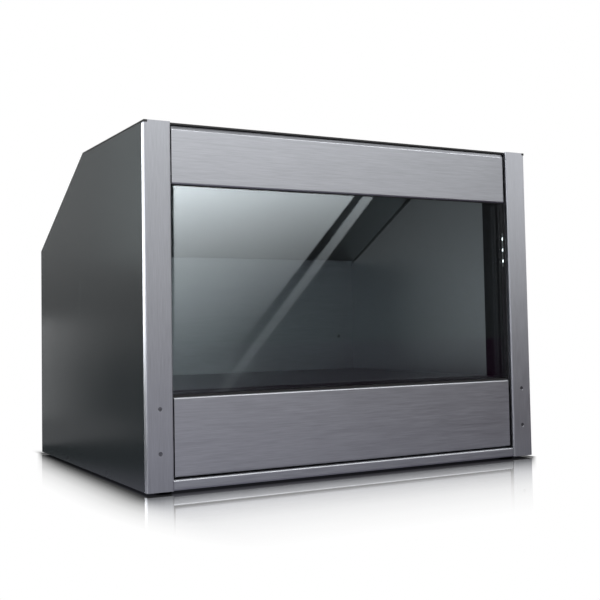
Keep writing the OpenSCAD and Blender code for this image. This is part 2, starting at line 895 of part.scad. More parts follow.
module led_pocket() {
  box([-liner_x - led_size[0], led_y - led_size[1] / 2, led_z - led_size[2] / 2],
      [-liner_x + 1, led_y + led_size[1] / 2, led_z + led_size[2] / 2]);
}

module led_modules() color([0.1, 0.1, 0.11]) {
  for (side = [0, 1])
    mirror([side, 0, 0])
      box([-liner_x - led_size[0], led_y - led_size[1] / 2, led_z - led_size[2] / 2],
          [-liner_x - 0.6, led_y + led_size[1] / 2, led_z + led_size[2] / 2]);
}

module led_lenses() color([0.95, 0.95, 0.9]) {
  for (side = [0, 1], i = [-1:1])
    mirror([side, 0, 0])
      intersection() {
        translate([-liner_x + lens_h - lens_ball, led_y, led_z + i * led_pitch]) sphere(lens_ball);
        box([-liner_x - 0.6, led_y - lens_ball, led_z + i * led_pitch - lens_ball],
            [-liner_x + lens_h, led_y + lens_ball, led_z + i * led_pitch + lens_ball]);
      }
}

function heater_leads() = [-heater_x - heater_pitch / 2, -heater_x - heater_pitch * 1.5];

// A bend of the heater's tube in plan, of radius r about (x, y), from angle a over sweep.
module tube_bend(x, y, r, a, sweep) {
  translate([x, y, heater_z])
    rotate([0, 0, a])
      rotate_extrude(angle = sweep)
        translate([r, 0]) circle(heater_r);
}

module heater_element() color([0.35, 0.33, 0.31]) {
  r = heater_pitch / 2;
  last_y = heater_y + (heater_runs - 1) * heater_pitch;
  leads = heater_leads();
  for (i = [0:heater_runs - 1])
    rod_x(heater_y + i * heater_pitch, heater_z, -heater_x, heater_x, heater_r);
  for (i = [0:heater_runs - 2])
    tube_bend((i % 2 == 0 ? 1 : -1) * heater_x, heater_y + (i + 0.5) * heater_pitch, r,
              i % 2 == 0 ? -90 : 90, 180);
  // The two ends turn back and pass through the wall of the duct.
  tube_bend(-heater_x, last_y + r, r, 180, 90);
  rod_y(leads[0], heater_z, last_y + r, bay_y + 12, heater_r);
  rod_x(heater_y, heater_z, leads[1] + r, -heater_x, heater_r);
  tube_bend(leads[1] + r, heater_y + r, r, 180, 90);
  rod_y(leads[1], heater_z, heater_y + r, bay_y + 12, heater_r);
  for (x = leads)
    rod_y(x, heater_z, duct_y1 - liner_t - 3, duct_y1 - liner_t, heater_r + 5);
  // The stands that carry the tube on the floor of the duct.
  for (x = [-heater_x / 2, heater_x / 2])
    difference() {
      box([x - 0.8, heater_y - 12, plenum_z + liner_t], [x + 0.8, last_y + 12, heater_z + heater_r + 3]);
      for (i = [0:heater_runs - 1])
        rod_x(heater_y + i * heater_pitch, heater_z, x - 2, x + 2, heater_r - tiny);
    }
}

// The scroll of the blower: its radius grows steadily with the angle.
function scroll(a) = wheel_r + 4 + 9 * a / 250;
function scroll_path() = concat(
  [for (a = [0:10:220]) scroll(a) * [cos(70 - a), sin(70 - a)]],
  [[-wheel_r - 30, -wheel_r * 0.35]]
);

module blower_housing() color([0.7, 0.7, 0.72]) {
  path = scroll_path();
  inner = moved_path(path, -1);
  translate([0, wheel_y, wheel_z]) {
    across(-blower_x, blower_x)
      polygon(concat(path, [for (i = [len(inner) - 1:-1:0]) inner[i]]));
    // The lip that parts the air going in from the air going out.
    across(-blower_x, blower_x)
      polygon(folded([[-wheel_r - 30, 12], [-wheel_r - 3, 12], [-wheel_r - 3, 20]], 1, 2));
    for (sx = [-1, 1])
      difference() {
        box([sx * blower_x - 0.8, -wheel_r - 30, plenum_z + liner_t - wheel_z],
            [sx * blower_x + 0.8, wheel_r + 12, wheel_r + 10]);
        rod_x(0, 0, sx * blower_x - 2, sx * blower_x + 2, 7);
      }
    for (sx = [-1, 1])
      difference() {
        rod_x(0, 0, sx * blower_x - 2.5, sx * blower_x + 2.5, 7);
        rod_x(0, 0, sx * blower_x - 4, sx * blower_x + 4, shaft_r + run_fit);
      }
  }
}

module blower_motor() color([0.25, 0.25, 0.27]) {
  x0 = -blower_x - 50;
  translate([0, wheel_y, wheel_z])
    difference() {
      union() {
        rod_x(0, 0, x0, -blower_x - 8, 21);
        rod_x(0, 0, -blower_x - 8, -blower_x - 2.5, 8);
        for (sz = [-1, 1])
          box([-blower_x - 11, -6, sz * 24 - 4], [-blower_x - 8, 6, sz * 24 + 4]);
        box([x0 + 8, -18, plenum_z + liner_t - wheel_z], [x0 + 10, 18, 0]);
        box([-blower_x - 20, -18, plenum_z + liner_t - wheel_z], [-blower_x - 18, 18, 0]);
        for (i = [0:3])
          rod_x(0, 0, x0 + 14 + i * 5, x0 + 16 + i * 5, 23);
      }
      rod_x(0, 0, -blower_x - 30, -blower_x, shaft_r + run_fit);
    }
}

// One blade of the wheel in its side view: an arc between two radii.
function blade() =
  let (arc = [for (a = [0:18:90]) [wheel_r - 9.5 + 8 * sin(a), 7 * (1 - cos(a))]])
  concat(arc, [for (i = [len(arc) - 1:-1:0]) moved_path(arc, 0.9)[i]]);

module blower_wheel() color([0.75, 0.76, 0.78]) {
  l2 = wheel_l / 2;
  translate([0, wheel_y, wheel_z]) {
    across(-l2, l2)
      for (i = [0:blades - 1])
        rotate(i * 360 / blades) polygon(blade());
    for (x = [-l2, -l2 / 2, 0, l2 / 2, l2])
      difference() {
        rod_x(0, 0, x - 0.8, x + 0.8, wheel_r);
        if (abs(x) < l2)
          rod_x(0, 0, x - 2, x + 2, wheel_r - 11);
      }
    rod_x(0, 0, -blower_x - 26, -l2, shaft_r);
    rod_x(0, 0, l2, blower_x + 2, shaft_r);
  }
}

module temperature_probe() color([0.7, 0.7, 0.72]) {
  y = (breaker_y + rear_y) / 2;
  z = deck_z + 150;
  x = -liner_x + 9;
  translate([x, y - 30, z])
    rotate([-90, 0, 0]) cylinder(r = 3, h = 60);
  translate([x, y - 30, z]) sphere(3);
  for (dy = [-14, 14])
    difference() {
      box([-liner_x, y + dy - 4, z - 6], [x + 5, y + dy + 4, z + 6]);
      translate([x, y + dy - 5, z])
        rotate([-90, 0, 0]) cylinder(r = 3 - tiny, h = 10);
    }
}

// ---------- Controls ----------

module temperature_controller() color([0.12, 0.12, 0.13]) {
  y = niche_floor_y + cover_t;
  difference() {
    union() {
      along(y, y + bezel[2] - 1)
        translate([controller_x, niche_z]) plate_outline(bezel[0], bezel[1], 3);
      along(y, y + bezel[2])
        translate([controller_x, niche_z]) plate_outline(bezel[0] - 2, bezel[1] - 2, 2.5);
      along(y - 55, y)
        translate([controller_x, niche_z]) square([bezel[0] - 5.6, bezel[1] - 5.6], center = true);
      // The clips that hold the case in its cut-out.
      for (sx = [-1, 1])
        box([controller_x + sx * (bezel[0] / 2 - 1.5) - 1.5, y - cover_t - 14, niche_z - 6],
            [controller_x + sx * (bezel[0] / 2 - 1.5) + 1.5, y - cover_t, niche_z + 6]);
    }
    along(y + bezel[2] - 0.8, y + bezel[2] + 1)
      translate([controller_x + 14, niche_z + 1]) plate_outline(40, 20, 1.5);
    for (i = [0:2])
      rod_y(button_x(i), niche_z - 4, y + 1, y + bezel[2] + 1, button_r + 0.3);
  }
}

function button_x(i) = controller_x - 14 - (i - 1) * (button_r * 2 + 1.6);

module button(i) {
  y = niche_floor_y + cover_t;
  difference() {
    union() {
      rod_y(button_x(i), niche_z - 4, y + 2.4, y + bezel[2] + 0.6, button_r);
      rod_y(button_x(i), niche_z - 4, y + bezel[2] + 0.6, y + bezel[2] + 1, button_r, button_r - 0.4);
    }
    // The finger dish.
    translate([button_x(i), y + bezel[2] + 9.6, niche_z - 4]) sphere(9);
  }
}

module set_button() color([0.75, 0.2, 0.18]) button(0);
module down_button() color([0.85, 0.85, 0.86]) button(1);
module up_button() color([0.85, 0.85, 0.86]) button(2);

module rocker_frame() color([0.1, 0.1, 0.11]) {
  y = niche_floor_y + cover_t;
  difference() {
    union() {
      along(y, y + 2)
        translate([rocker_x, niche_z]) plate_outline(23, 31, 2);
      along(y - 20, y)
        translate([rocker_x, niche_z]) square([19.6, 26.6], center = true);
      for (sx = [-1, 1], sz = [-1, 1])
        box([rocker_x + sx * 5 - 1.2, y - 30, niche_z + sz * 7 - 0.4],
            [rocker_x + sx * 5 + 1.2, y - 20, niche_z + sz * 7 + 0.4]);
    }
    along(y - 12, y + 4)
      translate([rocker_x, niche_z]) square([15, 24], center = true);
    rod_x(rocker_y, niche_z, rocker_x - 9, rocker_x + 9, 1.25);
  }
}

// The side view of the rocker: two faces at a shallow angle over a narrower body.
module rocker_paddle() color([0.75, 0.1, 0.08]) {
  translate([0, rocker_y, niche_z])
    rotate([rocker_tilt, 0, 0]) {
      across(rocker_x - 7.1, rocker_x + 7.1)
        polygon(rounded_outline([
          [-3, -6], [1, -10.8], [6.6, -10.8], [5, 0], [6.6, 10.8], [1, 10.8], [-3, 6]
        ], 0.8));
      rod_x(0, 0, rocker_x - 8.6, rocker_x + 8.6, 1.2);
    }
}

// The outline of an appliance inlet: a rectangle with its two lower corners cut off.
module inlet_outline(w, h) {
  c = 5;
  polygon([
    [-w / 2, h / 2], [-w / 2, -h / 2 + c], [-w / 2 + c, -h / 2],
    [w / 2 - c, -h / 2], [w / 2, -h / 2 + c], [w / 2, h / 2]
  ]);
}

module power_inlet() color([0.08, 0.08, 0.09]) {
  y = niche_floor_y + cover_t;
  difference() {
    union() {
      along(y, y + 3)
        translate([inlet_x, niche_z]) plate_outline(50, 23.6, 3);
      along(y - 16, y)
        translate([inlet_x, niche_z]) inlet_outline(27.2, 19.8);
    }
    along(y - 14, y + 4)
      translate([inlet_x, niche_z]) inlet_outline(24.4, 16.6);
    for (sx = [-1, 1])
      rod_y(inlet_x + sx * 20, niche_z, y - 1, y + 4, 1.6);
  }
  for (p = [[-7, -1.5], [0, 2.5], [7, -1.5]])
    box([inlet_x + p[0] - 1, y - 24, niche_z + p[1] - 2], [inlet_x + p[0] + 1, y, niche_z + p[1] + 2]);
}

// ---------- Fasteners ----------

// A countersunk screw that points along +Z from the face of the sheet at z = 0.
module sunk_screw() {
  difference() {
    union() {
      translate([0, 0, 0.2]) cylinder(h = sink_depth - 0.2, r1 = screw_head_r - 0.28, r2 = screw_r);
      translate([0, 0, sink_depth]) cylinder(h = screw_l, r = screw_r);
    }
    for (a = [0, 90])
      rotate([0, 0, a]) cube([0.9 * screw_head_r, 0.8, 1.4], center = true);
  }
}

// The hole for such a screw.
module sunk_hole() {
  translate([0, 0, -tiny]) cylinder(h = sink_depth + tiny, r1 = screw_head_r, r2 = screw_r);
  translate([0, 0, -1]) cylinder(h = 3 * skin_t + 1, r = screw_r);
}

// A pan-head screw along Y with its head on the outside, at y.
module pan_screw(x, z, y, r, l) {
  head = 1.9 * r;
  difference() {
    intersection() {
      rod_y(x, z, y, y + 0.9 * r, head);
      translate([x, y - 2.2 * r, z]) sphere(3.15 * r);
    }
    for (a = [0, 90])
      translate([x, y + r, z]) rotate([0, a, 0]) cube([2 * r, r, 0.4 * r], center = true);
  }
  rod_y(x, z, y - l, y, r);
}

module cabinet_screws() color([0.7, 0.7, 0.72]) {
  for (sx = [-1, 1], z = post_screw_z)
    translate([sx * (w2 - post_w / 2), front_y, z]) rotate([-90, 0, 0]) sunk_screw();
  for (sx = [-1, 1], y = base_screw_y)
    translate([sx * w2, y, base_screw_z]) rotate([0, -sx * 90, 0]) sunk_screw();
  for (p = shelf_fixings())
    translate([p[0], rear_y, p[1]]) rotate([0, 0, 180]) pan_screw(0, 0, 0, screw_r, screw_l);
  for (x = rear_screw_x(), z = rear_screw_zs())
    pan_screw(x, z, panel_y, screw_r, screw_l);
  for (p = concat(niche_screws(), cover_screws()))
    pan_screw(p[0], p[1], panel_y + cover_t, screw_r, screw_l);
  for (sx = [-1, 1])
    pan_screw(inlet_x + sx * 20, niche_z, niche_floor_y + cover_t + 3, 1.6, screw_l);
}

// ---------- Hinge ----------

// The leaf lies upright behind the axis, and its knuckles are rolled round the pin.
module leaf(first, bore, side) {
  gap = 0.3;
  translate([0, hinge_y, hinge_z])
    difference() {
      union() {
        box([-hinge_l / 2, side > 0 ? leaf_out - leaf_t : -leaf_out, -leaf_h],
            [hinge_l / 2, side > 0 ? leaf_out : leaf_t - leaf_out, -knuckle_r - 0.3]);
        for (i = [first:2:knuckles - 1]) {
          x = -hinge_l / 2 + i * knuckle_l;
          rod_x(0, 0, x + gap, x + knuckle_l - gap, knuckle_r);
          box([x + gap, side > 0 ? leaf_out - leaf_t : -leaf_out, -knuckle_r - 1],
              [x + knuckle_l - gap, side > 0 ? leaf_out : leaf_t - leaf_out, 0]);
        }
      }
      rod_x(0, 0, -hinge_l / 2 - 1, hinge_l / 2 + 1, bore);
    }
}

module hinge_fixed_leaf() color([0.7, 0.7, 0.72]) leaf(0, pin_r, -1);
module hinge_moving_leaf() color([0.7, 0.7, 0.72]) leaf(1, pin_r + run_fit, 1);

module hinge_pin() color([0.6, 0.6, 0.62]) {
  rod_x(hinge_y, hinge_z, -hinge_l / 2 - 0.5, hinge_l / 2 + 0.5, pin_r);
}

// ---------- Lid ----------

// The lid's outer form, with every face but the lower one moved inwards by in.
module lid_block(in, depth) {
  r = bend_r - in;
  corner_s = slope_s(lid_y0 + in, -in);
  top = on_slope(corner_s, -in);
  intersection() {
    across(-w2, w2)
      polygon([
        for (p = rounded_path([
          [lid_y0 + in, on_slope(slope_s(lid_y0 + in, -depth), -depth)[1]],
          top,
          on_slope(lid_s1 - in, -in),
          on_slope(lid_s1 - in, -depth)
        ], r)) p
      ]);
    at_slope()
      translate([0, slope_l + 20, 0])
        rotate([90, 0, 0])
          linear_extrude(slope_l + 60)
            polygon(rounded_path([
              [-lid_x + in, -depth - 5],
              [-lid_x + in, -in],
              [lid_x - in, -in],
              [lid_x - in, -depth - 5]
            ], r));
  }
}

module handle_places() {
  for (sx = [-1, 1])
    translate([sx * handle_l / 2, lid_s1 - 45, 0]) children();
}

module lid_skin() color([0.6, 0.6, 0.62]) {
  difference() {
    lid_block(0, lid_rim - 1);
    lid_block(skin_t, lid_rim + 1);
    at_slope() handle_places() translate([0, 0, -3]) cylinder(r = 3, h = 6);
  }
}

// The inner pan: a flange under the rim and a plug that fills the opening.
module lid_pan() color([0.55, 0.56, 0.57]) {
  t = liner_t;
  rim = -lid_rim;
  flange_s = slope_s(lid_y0, rim) + 1;
  at_slope()
    difference() {
      union() {
        box([-lid_x + 0.4, flange_s, rim], [lid_x - 0.4, lid_s1 - 0.4, rim + t]);
        box([-plug_x, plug_s0, -lid_t], [plug_x, plug_s1, rim + t]);
      }
      box([-plug_x + t, plug_s0 + t, -lid_t + t], [plug_x - t, plug_s1 - t, rim + t + 1]);
    }
}

module lid_foam() color([0.85, 0.8, 0.62]) {
  t = liner_t;
  difference() {
    union() {
      lid_block(skin_t, lid_rim - t);
      at_slope()
        box([-plug_x + t, plug_s0 + t, -lid_t + t], [plug_x - t, plug_s1 - t, -lid_rim + t + tiny]);
    }
    at_slope() handle_places() translate([0, 0, -8]) cylinder(r = 7, h = 8);
  }
}

// A bulb seal: a flat base under the rim with a hollow round bulb below it.
module lid_gasket() color([0.06, 0.06, 0.07]) {
  z0 = -lid_rim;
  x1 = lid_x - 6;
  x0 = plug_x + 2;
  s0 = ledge_s0 + 2;
  s1 = rear_ledge_s + 18;
  bulb = (seal_gap - 0.3) / 2;
  xb = (liner_x + x1) / 2 + 1;
  sa = s0 + 5;
  sb = s1 - 6;
  at_slope() {
    difference() {
      box([-x1, s0, z0 - 1], [x1, s1, z0]);
      box([-x0, plug_s0 - 2, z0 - 2], [x0, plug_s1 + 2, z0 + 1]);
    }
    for (sx = [-1, 1]) {
      translate([sx * xb, sa, z0 - bulb]) rotate([-90, 0, 0]) cylinder(r = bulb, h = sb - sa);
      for (s = [sa, sb]) translate([sx * xb, s, z0 - bulb]) sphere(bulb);
    }
    for (s = [sa, sb])
      translate([-xb, s, z0 - bulb]) rotate([0, 90, 0]) cylinder(r = bulb, h = 2 * xb);
  }
}

module lid_handle() color([0.75, 0.75, 0.77]) {
  bend = 14;
  top = handle_h - handle_r;
  at_slope() {
    handle_places() {
      cylinder(r = handle_r, h = top - bend);
      cylinder(r = handle_r + 4, h = 2.5);
    }
    translate([-handle_l / 2 + bend, lid_s1 - 45, top])
      rotate([0, 90, 0]) cylinder(r = handle_r, h = handle_l - 2 * bend);
    for (sx = [0, 1])
      mirror([sx, 0, 0])
        translate([handle_l / 2 - bend, lid_s1 - 45, top - bend])
          rotate([90, 0, 0])
            rotate_extrude(angle = 90) translate([bend, 0]) circle(handle_r);
  }
}

// The handle's screws, with their heads inside the lid.
module lid_screws() color([0.7, 0.7, 0.72]) {
  at_slope() handle_places() {
    translate([0, 0, -skin_t]) cylinder(r = 3, h = skin_t);
    translate([0, 0, -skin_t - 3.5]) cylinder(r = 5.5, h = 3.5, $fn = 6);
  }
}

base_pan();
feet();
left_side_panel();
right_side_panel();
left_corner_post();
right_corner_post();
top_fascia();
bottom_fascia();
bottom_rail();
top_panel();
left_edge_trim();
right_edge_trim();
top_edge_trim();
rear_panel();
louvre_cover();
control_niche();
rear_sill();
left_liner();
right_liner();
rear_liner();
ceiling_liner();
display_deck();
left_breaker();
right_breaker();
front_breaker();
window_gasket();
outer_glass();
inner_glass();
glass_spacer();
left_insulation();
right_insulation();
rear_insulation();
ceiling_insulation();
floor_insulation();
plenum_tray();
led_modules();
led_lenses();
heater_element();
blower_housing();
blower_motor();
blower_wheel();
temperature_probe();
temperature_controller();
set_button();
up_button();
down_button();
rocker_frame();
rocker_paddle();
power_inlet();
hinge_fixed_leaf();
hinge_moving_leaf();
hinge_pin();
cabinet_screws();
lid_skin();
lid_pan();
lid_foam();
lid_gasket();
lid_handle();
lid_screws();
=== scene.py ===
"""Looks of the heated countertop display cabinet: its finishes, its small marks and the studio."""
import json
import math

import bpy
import numpy as np
from mathutils import Matrix, Vector


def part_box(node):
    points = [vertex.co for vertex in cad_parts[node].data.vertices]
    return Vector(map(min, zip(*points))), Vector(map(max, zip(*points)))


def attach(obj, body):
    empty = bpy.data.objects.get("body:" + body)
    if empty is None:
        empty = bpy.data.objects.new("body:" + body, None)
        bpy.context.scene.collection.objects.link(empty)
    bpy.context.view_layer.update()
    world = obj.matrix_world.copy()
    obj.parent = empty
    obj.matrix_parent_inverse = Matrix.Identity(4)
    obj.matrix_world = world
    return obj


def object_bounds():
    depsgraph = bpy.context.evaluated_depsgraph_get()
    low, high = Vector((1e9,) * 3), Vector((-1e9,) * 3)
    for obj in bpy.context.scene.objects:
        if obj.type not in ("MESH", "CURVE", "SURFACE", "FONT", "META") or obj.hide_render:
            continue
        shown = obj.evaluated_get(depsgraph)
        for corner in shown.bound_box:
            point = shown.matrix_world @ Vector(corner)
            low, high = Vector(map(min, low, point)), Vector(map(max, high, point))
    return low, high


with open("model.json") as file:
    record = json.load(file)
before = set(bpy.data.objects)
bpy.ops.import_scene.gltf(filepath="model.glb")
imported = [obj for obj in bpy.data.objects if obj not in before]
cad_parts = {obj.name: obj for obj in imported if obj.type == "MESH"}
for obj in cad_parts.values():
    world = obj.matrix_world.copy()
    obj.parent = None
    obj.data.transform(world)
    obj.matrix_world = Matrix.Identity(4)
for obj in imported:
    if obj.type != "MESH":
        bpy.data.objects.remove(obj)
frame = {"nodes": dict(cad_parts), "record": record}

cad_box = [list(corner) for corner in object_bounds()]
nodes = frame["nodes"]
LOW, HIGH = (Vector(corner) for corner in cad_box)
MM = 0.001


# ---------- Camera ----------

CAMERA_PLACE = Vector((-0.94675, -1.78878, 0.26354))
YAW, PITCH, ROLL = (math.radians(angle) for angle in (28.446, 2.8115, -0.9713))
LENS_MM = 58.571
SHIFT = (0.02871, -0.03582)
FARTHEST_SEEN = 50


def make_camera():
    """A camera aimed by yaw to the right of +Y, then pitch upwards, then roll about its own line of
    sight."""
    ahead = Vector((math.sin(YAW) * math.cos(PITCH), math.cos(YAW) * math.cos(PITCH), math.sin(PITCH)))
    level = Vector((math.cos(YAW), -math.sin(YAW), 0))
    above = level.cross(ahead)
    right = math.cos(ROLL) * level + math.sin(ROLL) * above
    up = math.cos(ROLL) * above - math.sin(ROLL) * level
    data = bpy.data.cameras.new("camera")
    data.lens = LENS_MM
    data.shift_x, data.shift_y = SHIFT
    data.clip_end = FARTHEST_SEEN
    camera = bpy.data.objects.new("camera", data)
    turned = Matrix((right, up, -ahead)).transposed().to_4x4()
    camera.matrix_world = Matrix.Translation(CAMERA_PLACE) @ turned
    bpy.context.scene.collection.objects.link(camera)
    bpy.context.scene.camera = camera


make_camera()


# ---------- Shader maths ----------

WHITE, BLACK = (1, 1, 1, 1), (0, 0, 0, 1)


def shade(*levels):
    """A colour from screen levels of 0 to 255, turned by the sRGB curve into the linear values of
    shaders."""
    def linear(level):
        c = level / 255
        return c / 12.92 if c <= 0.04045 else ((c + 0.055) / 1.055) ** 2.4
    return tuple(linear(level) for level in (levels * 3 if len(levels) == 1 else levels)) + (1,)


def scaled(colour, times):
    """A colour made darker or lighter."""
    return tuple(c * times for c in colour[:3]) + (1,)


class Field:
    """A number that varies over a surface. Arithmetic on it adds Math nodes to its tree of shaders."""

    def __init__(self, shaders, socket):
        self.shaders, self.socket = shaders, socket

    def _with(self, operation, *values):
        return self.shaders.node("ShaderNodeMath", {"operation": operation}, dict(enumerate(values)))

    def __add__(self, other):
        return self._with("ADD", self, other)

    def __sub__(self, other):
        return self._with("SUBTRACT", self, other)

    def __rsub__(self, other):
        return self._with("SUBTRACT", other, self)

    def __mul__(self, other):
        return self._with("MULTIPLY", self, other)

    def __truediv__(self, other):
        return self._with("DIVIDE", self, other)

    def __pow__(self, other):
        return self._with("POWER", self, other)

    __radd__, __rmul__ = __add__, __mul__

    def at_least(self, least):
        return self._with("MAXIMUM", self, least)

    def clamped(self):
        return self.shaders.node("ShaderNodeClamp", {}, {"Value": self})

    def between(self, start, end):
        """0 where this number is at the start, 1 where it is at the end, and straight in between."""
        return ((self - start) / (end - start)).clamped()

    def about(self, middle, spread):
        """A number that swings about its middle by the spread, as this one goes from 0 to 1."""
        return self * (2 * spread) + (middle - spread)

    def ramp(self, stops):
        """This number read off a ramp whose stops are (position, grey)."""
        stops = [(at, (grey, grey, grey, 1)) for at, grey in stops]
        return self.shaders.node("ShaderNodeValToRGB", {"stops": stops}, {"Fac": self})


class Shaders:
    """A tree of shader nodes, whose sockets take plain values or fields."""

    def __init__(self, tree):
        self.tree = tree

    def put(self, target, socket, value):
        """A link if the value is a field, and otherwise the socket's own value."""
        if isinstance(value, Field):
            self.tree.links.new(value.socket, target.inputs[socket])
        else:
            target.inputs[socket].default_value = value

    def node(self, kind, settings, inputs, output=0):
        """A node of a kind, with its settings made before its inputs. Returns one of its outputs as a
        field."""
        made = self.tree.nodes.new(kind)
        for key, value in settings.items():
            if key == "stops":
                steps = made.color_ramp.elements
                while len(steps) < len(value):
                    steps.new(1)
                for step, (at, colour) in zip(steps, value):
                    step.position, step.color = at, colour
            else:
                setattr(made, key, value)
        for socket, value in inputs.items():
            self.put(made, socket, value)
        return Field(self, made.outputs[output])

    def place(self):
        return self.node("ShaderNodeTexCoord", {}, {}, "Object")

    def axis(self, letter):
        return self.node("ShaderNodeSeparateXYZ", {}, {"Vector": self.place()}, letter)

    def stretched(self, scale, start=(0, 0, 0)):
        """Object coordinates in metres, stretched and then moved by a Mapping node."""
        return self.node("ShaderNodeMapping", {}, {
            "Vector": self.place(), "Location": start, "Scale": scale})

    def noise(self, scale, detail=2, roughness=0.5, start=(0, 0, 0)):
        """Cloudy noise, with so many waves per metre along X, Y and Z."""
        return self.node("ShaderNodeTexNoise", {}, {
            "Vector": self.stretched(scale, start), "Scale": 1, "Detail": detail, "Roughness": roughness})

    def cells(self, scale, output):
        """Voronoi cells, so many per metre. Their output is the Distance from a cell's middle or its
        Color."""
        return self.node("ShaderNodeTexVoronoi", {}, {"Vector": self.stretched(scale), "Scale": 1}, output)

    def mix(self, factor, a, b):
        """Colour a turned into colour b by a factor of 0 to 1."""
        return self.node("ShaderNodeMix", {"data_type": "RGBA"}, {0: factor, 6: a, 7: b}, 2)

    def seen_by_camera(self):
        """1 for what the camera sees itself, and 0 for what a surface mirrors or is lit by."""
        return self.node("ShaderNodeLightPath", {}, {}, "Is Camera Ray")


class Material(Shaders):
    """A material with its name, its tree of shaders and its output."""

    def __init__(self, name):
        self.name = name
        self.material = bpy.data.materials.new(name)
        self.material.use_nodes = True
        super().__init__(self.material.node_tree)
        self.output = self.tree.nodes["Material Output"]


class Finish(Material):
    """A material with one Principled shader, whose constant sockets are given with its name."""

    def __init__(self, name, **constants):
        super().__init__(name)
        self.principled = self.tree.nodes["Principled BSDF"]
        for socket, value in constants.items():
            self.skin(socket.replace("_", " "), value)

    def skin(self, socket, value):
        self.put(self.principled, socket, value)

    def bump(self, height, distance):
        """Height in parts of the distance in metres, as the surface's normal."""
        self.skin("Normal", self.node("ShaderNodeBump", {}, {"Height": height, "Distance": distance}))


class Layers(Material):
    """A material of other shaders, for the glass, the table top and the cards of light."""

    def __init__(self, name):
        super().__init__(name)
        self.tree.nodes.remove(self.tree.nodes["Principled BSDF"])

    def show(self, shader):
        self.put(self.output, "Surface", shader)

    def layered(self, factor, a, b):
        """Shader a turned into shader b by a factor of 0 to 1."""
        return self.node("ShaderNodeMixShader", {}, {0: factor, 1: a, 2: b})

    def glow(self, colour, strength=1):
        return self.node("ShaderNodeEmission", {}, {"Color": colour, "Strength": strength})

    def mirror(self, colour, roughness):
        return self.node("ShaderNodeBsdfGlossy", {}, {"Color": colour, "Roughness": roughness})

    def clear(self, tint):
        return self.node("ShaderNodeBsdfTransparent", {}, {"Color": tint})

    def light(self, colour, strength=1):
        """Gives off light and lets everything else pass through, so that it darkens nothing behind it."""
        return self.node("ShaderNodeAddShader", {}, {0: self.clear(WHITE), 1: self.glow(colour, strength)})

    def uneven_light(self, share, colour, strength=1):
        """Such a light, times a share of 0 to 1 that varies over the surface. It isn't sampled as a lamp."""
        self.show(self.layered(share, self.clear(WHITE), self.light(colour, strength)))
        self.material.cycles.emission_sampling = "NONE"


# ---------- Finishes ----------

def even(waves):
    """A pattern's scale with as many waves per metre along X, Y and Z."""
    return waves, waves, waves


def drawn_out(brush, along, across):
    """A pattern's scale with few waves per metre along the brush and many across it."""
    return tuple(along if axis == brush else across for axis in "XYZ")


# Waves per metre of the brush's marks, along and across it.
HAIR_WAVES, LINE_WAVES, BAND_WAVES = (45, 2200), (22, 800), (3, 60)


def brushed(name, colour, brush="X", rough=0.36, contrast=0.12, seed=0):
    """Brushed sheet metal. Three noises are drawn out along the brush: fine hairs, grouped lines and
    broad, faint bands. The tone is 0.3 hairs + 0.55 lines + 0.15 bands, and its swing takes the colour
    1.6 contrasts down and up. The relief is 0.6 hairs + 0.4 lines."""
    f = Finish(name, Metallic=1.0)
    hairs = f.noise(drawn_out(brush, *HAIR_WAVES), roughness=0.6, start=(seed, seed, seed))
    lines = f.noise(drawn_out(brush, *LINE_WAVES), roughness=0.55, start=(seed + 3, seed, seed))
    bands = f.noise(drawn_out(brush, *BAND_WAVES), start=(seed, seed + 5, seed))
    tone = (hairs * 0.3 + lines * 0.55 + bands * 0.15).about(0.5, 0.9).clamped()
    dark, light = (scaled(colour, 1 + side * 1.6 * contrast) for side in (-1, 1))
    f.skin("Base Color", f.mix(tone, dark, light))
    f.skin("Roughness", lines.about(rough, 0.1))
    f.bump(hairs * 0.6 + lines * 0.4, 0.06 * MM)
    return f


def painted(name, colour, rough=0.5, grain=260, spread=0.08, metal=0.0, coat=0.0, depth=0.05 * MM):
    """Plain paint or moulded plastic, with a fine orange-peel grain and a faint broad unevenness. The
    colour swings by its spread with 0.4 peel + 0.6 broad, and the gloss by 0.08 with their mean."""
    f = Finish(name, Metallic=metal, Coat_Weight=coat)
    peel = f.noise(even(grain), detail=3)
    broad = f.noise(even(9))
    dark, light = (scaled(colour, 1 + side * spread) for side in (-1, 1))
    f.skin("Base Color", f.mix(peel * 0.4 + broad * 0.6, dark, light))
    f.skin("Roughness", (broad * 0.5 + peel * 0.5).about(rough, 0.08))
    f.bump(peel, depth)
    return f


def galvanised(name, colour):
    """Zinc-coated sheet. Crystals of about a centimetre each have their own tone and gloss, under a
    soft bloom. The colour swings by 0.07 with 0.7 tone + 0.3 bloom."""
    f = Finish(name, Metallic=0.9)
    tone = f.node("ShaderNodeSeparateColor", {}, {"Color": f.cells(even(95), "Color")}, "Red")
    bloom = f.noise(even(16), detail=4)
    f.skin("Base Color", f.mix(tone * 0.7 + bloom * 0.3, scaled(colour, 0.93), scaled(colour, 1.07)))
    f.skin("Roughness", tone.about(0.42, 0.06))
    f.bump(tone, 0.04 * MM)
    return f


def foam_board(name, colour):
    """Cut rigid foam: graphite grey, with open cells of about a millimetre that are darker at the rim."""
    f = Finish(name, Roughness=0.95)
    cells = f.cells(even(900), "Distance")
    broad = f.noise(even(14), detail=3)
    dark, light = scaled(colour, 0.82), scaled(colour, 1.08)
    f.skin("Base Color", f.mix((cells * 0.7 + broad * 0.5).clamped(), light, dark))
    f.bump(cells, 0.3 * MM)
    return f


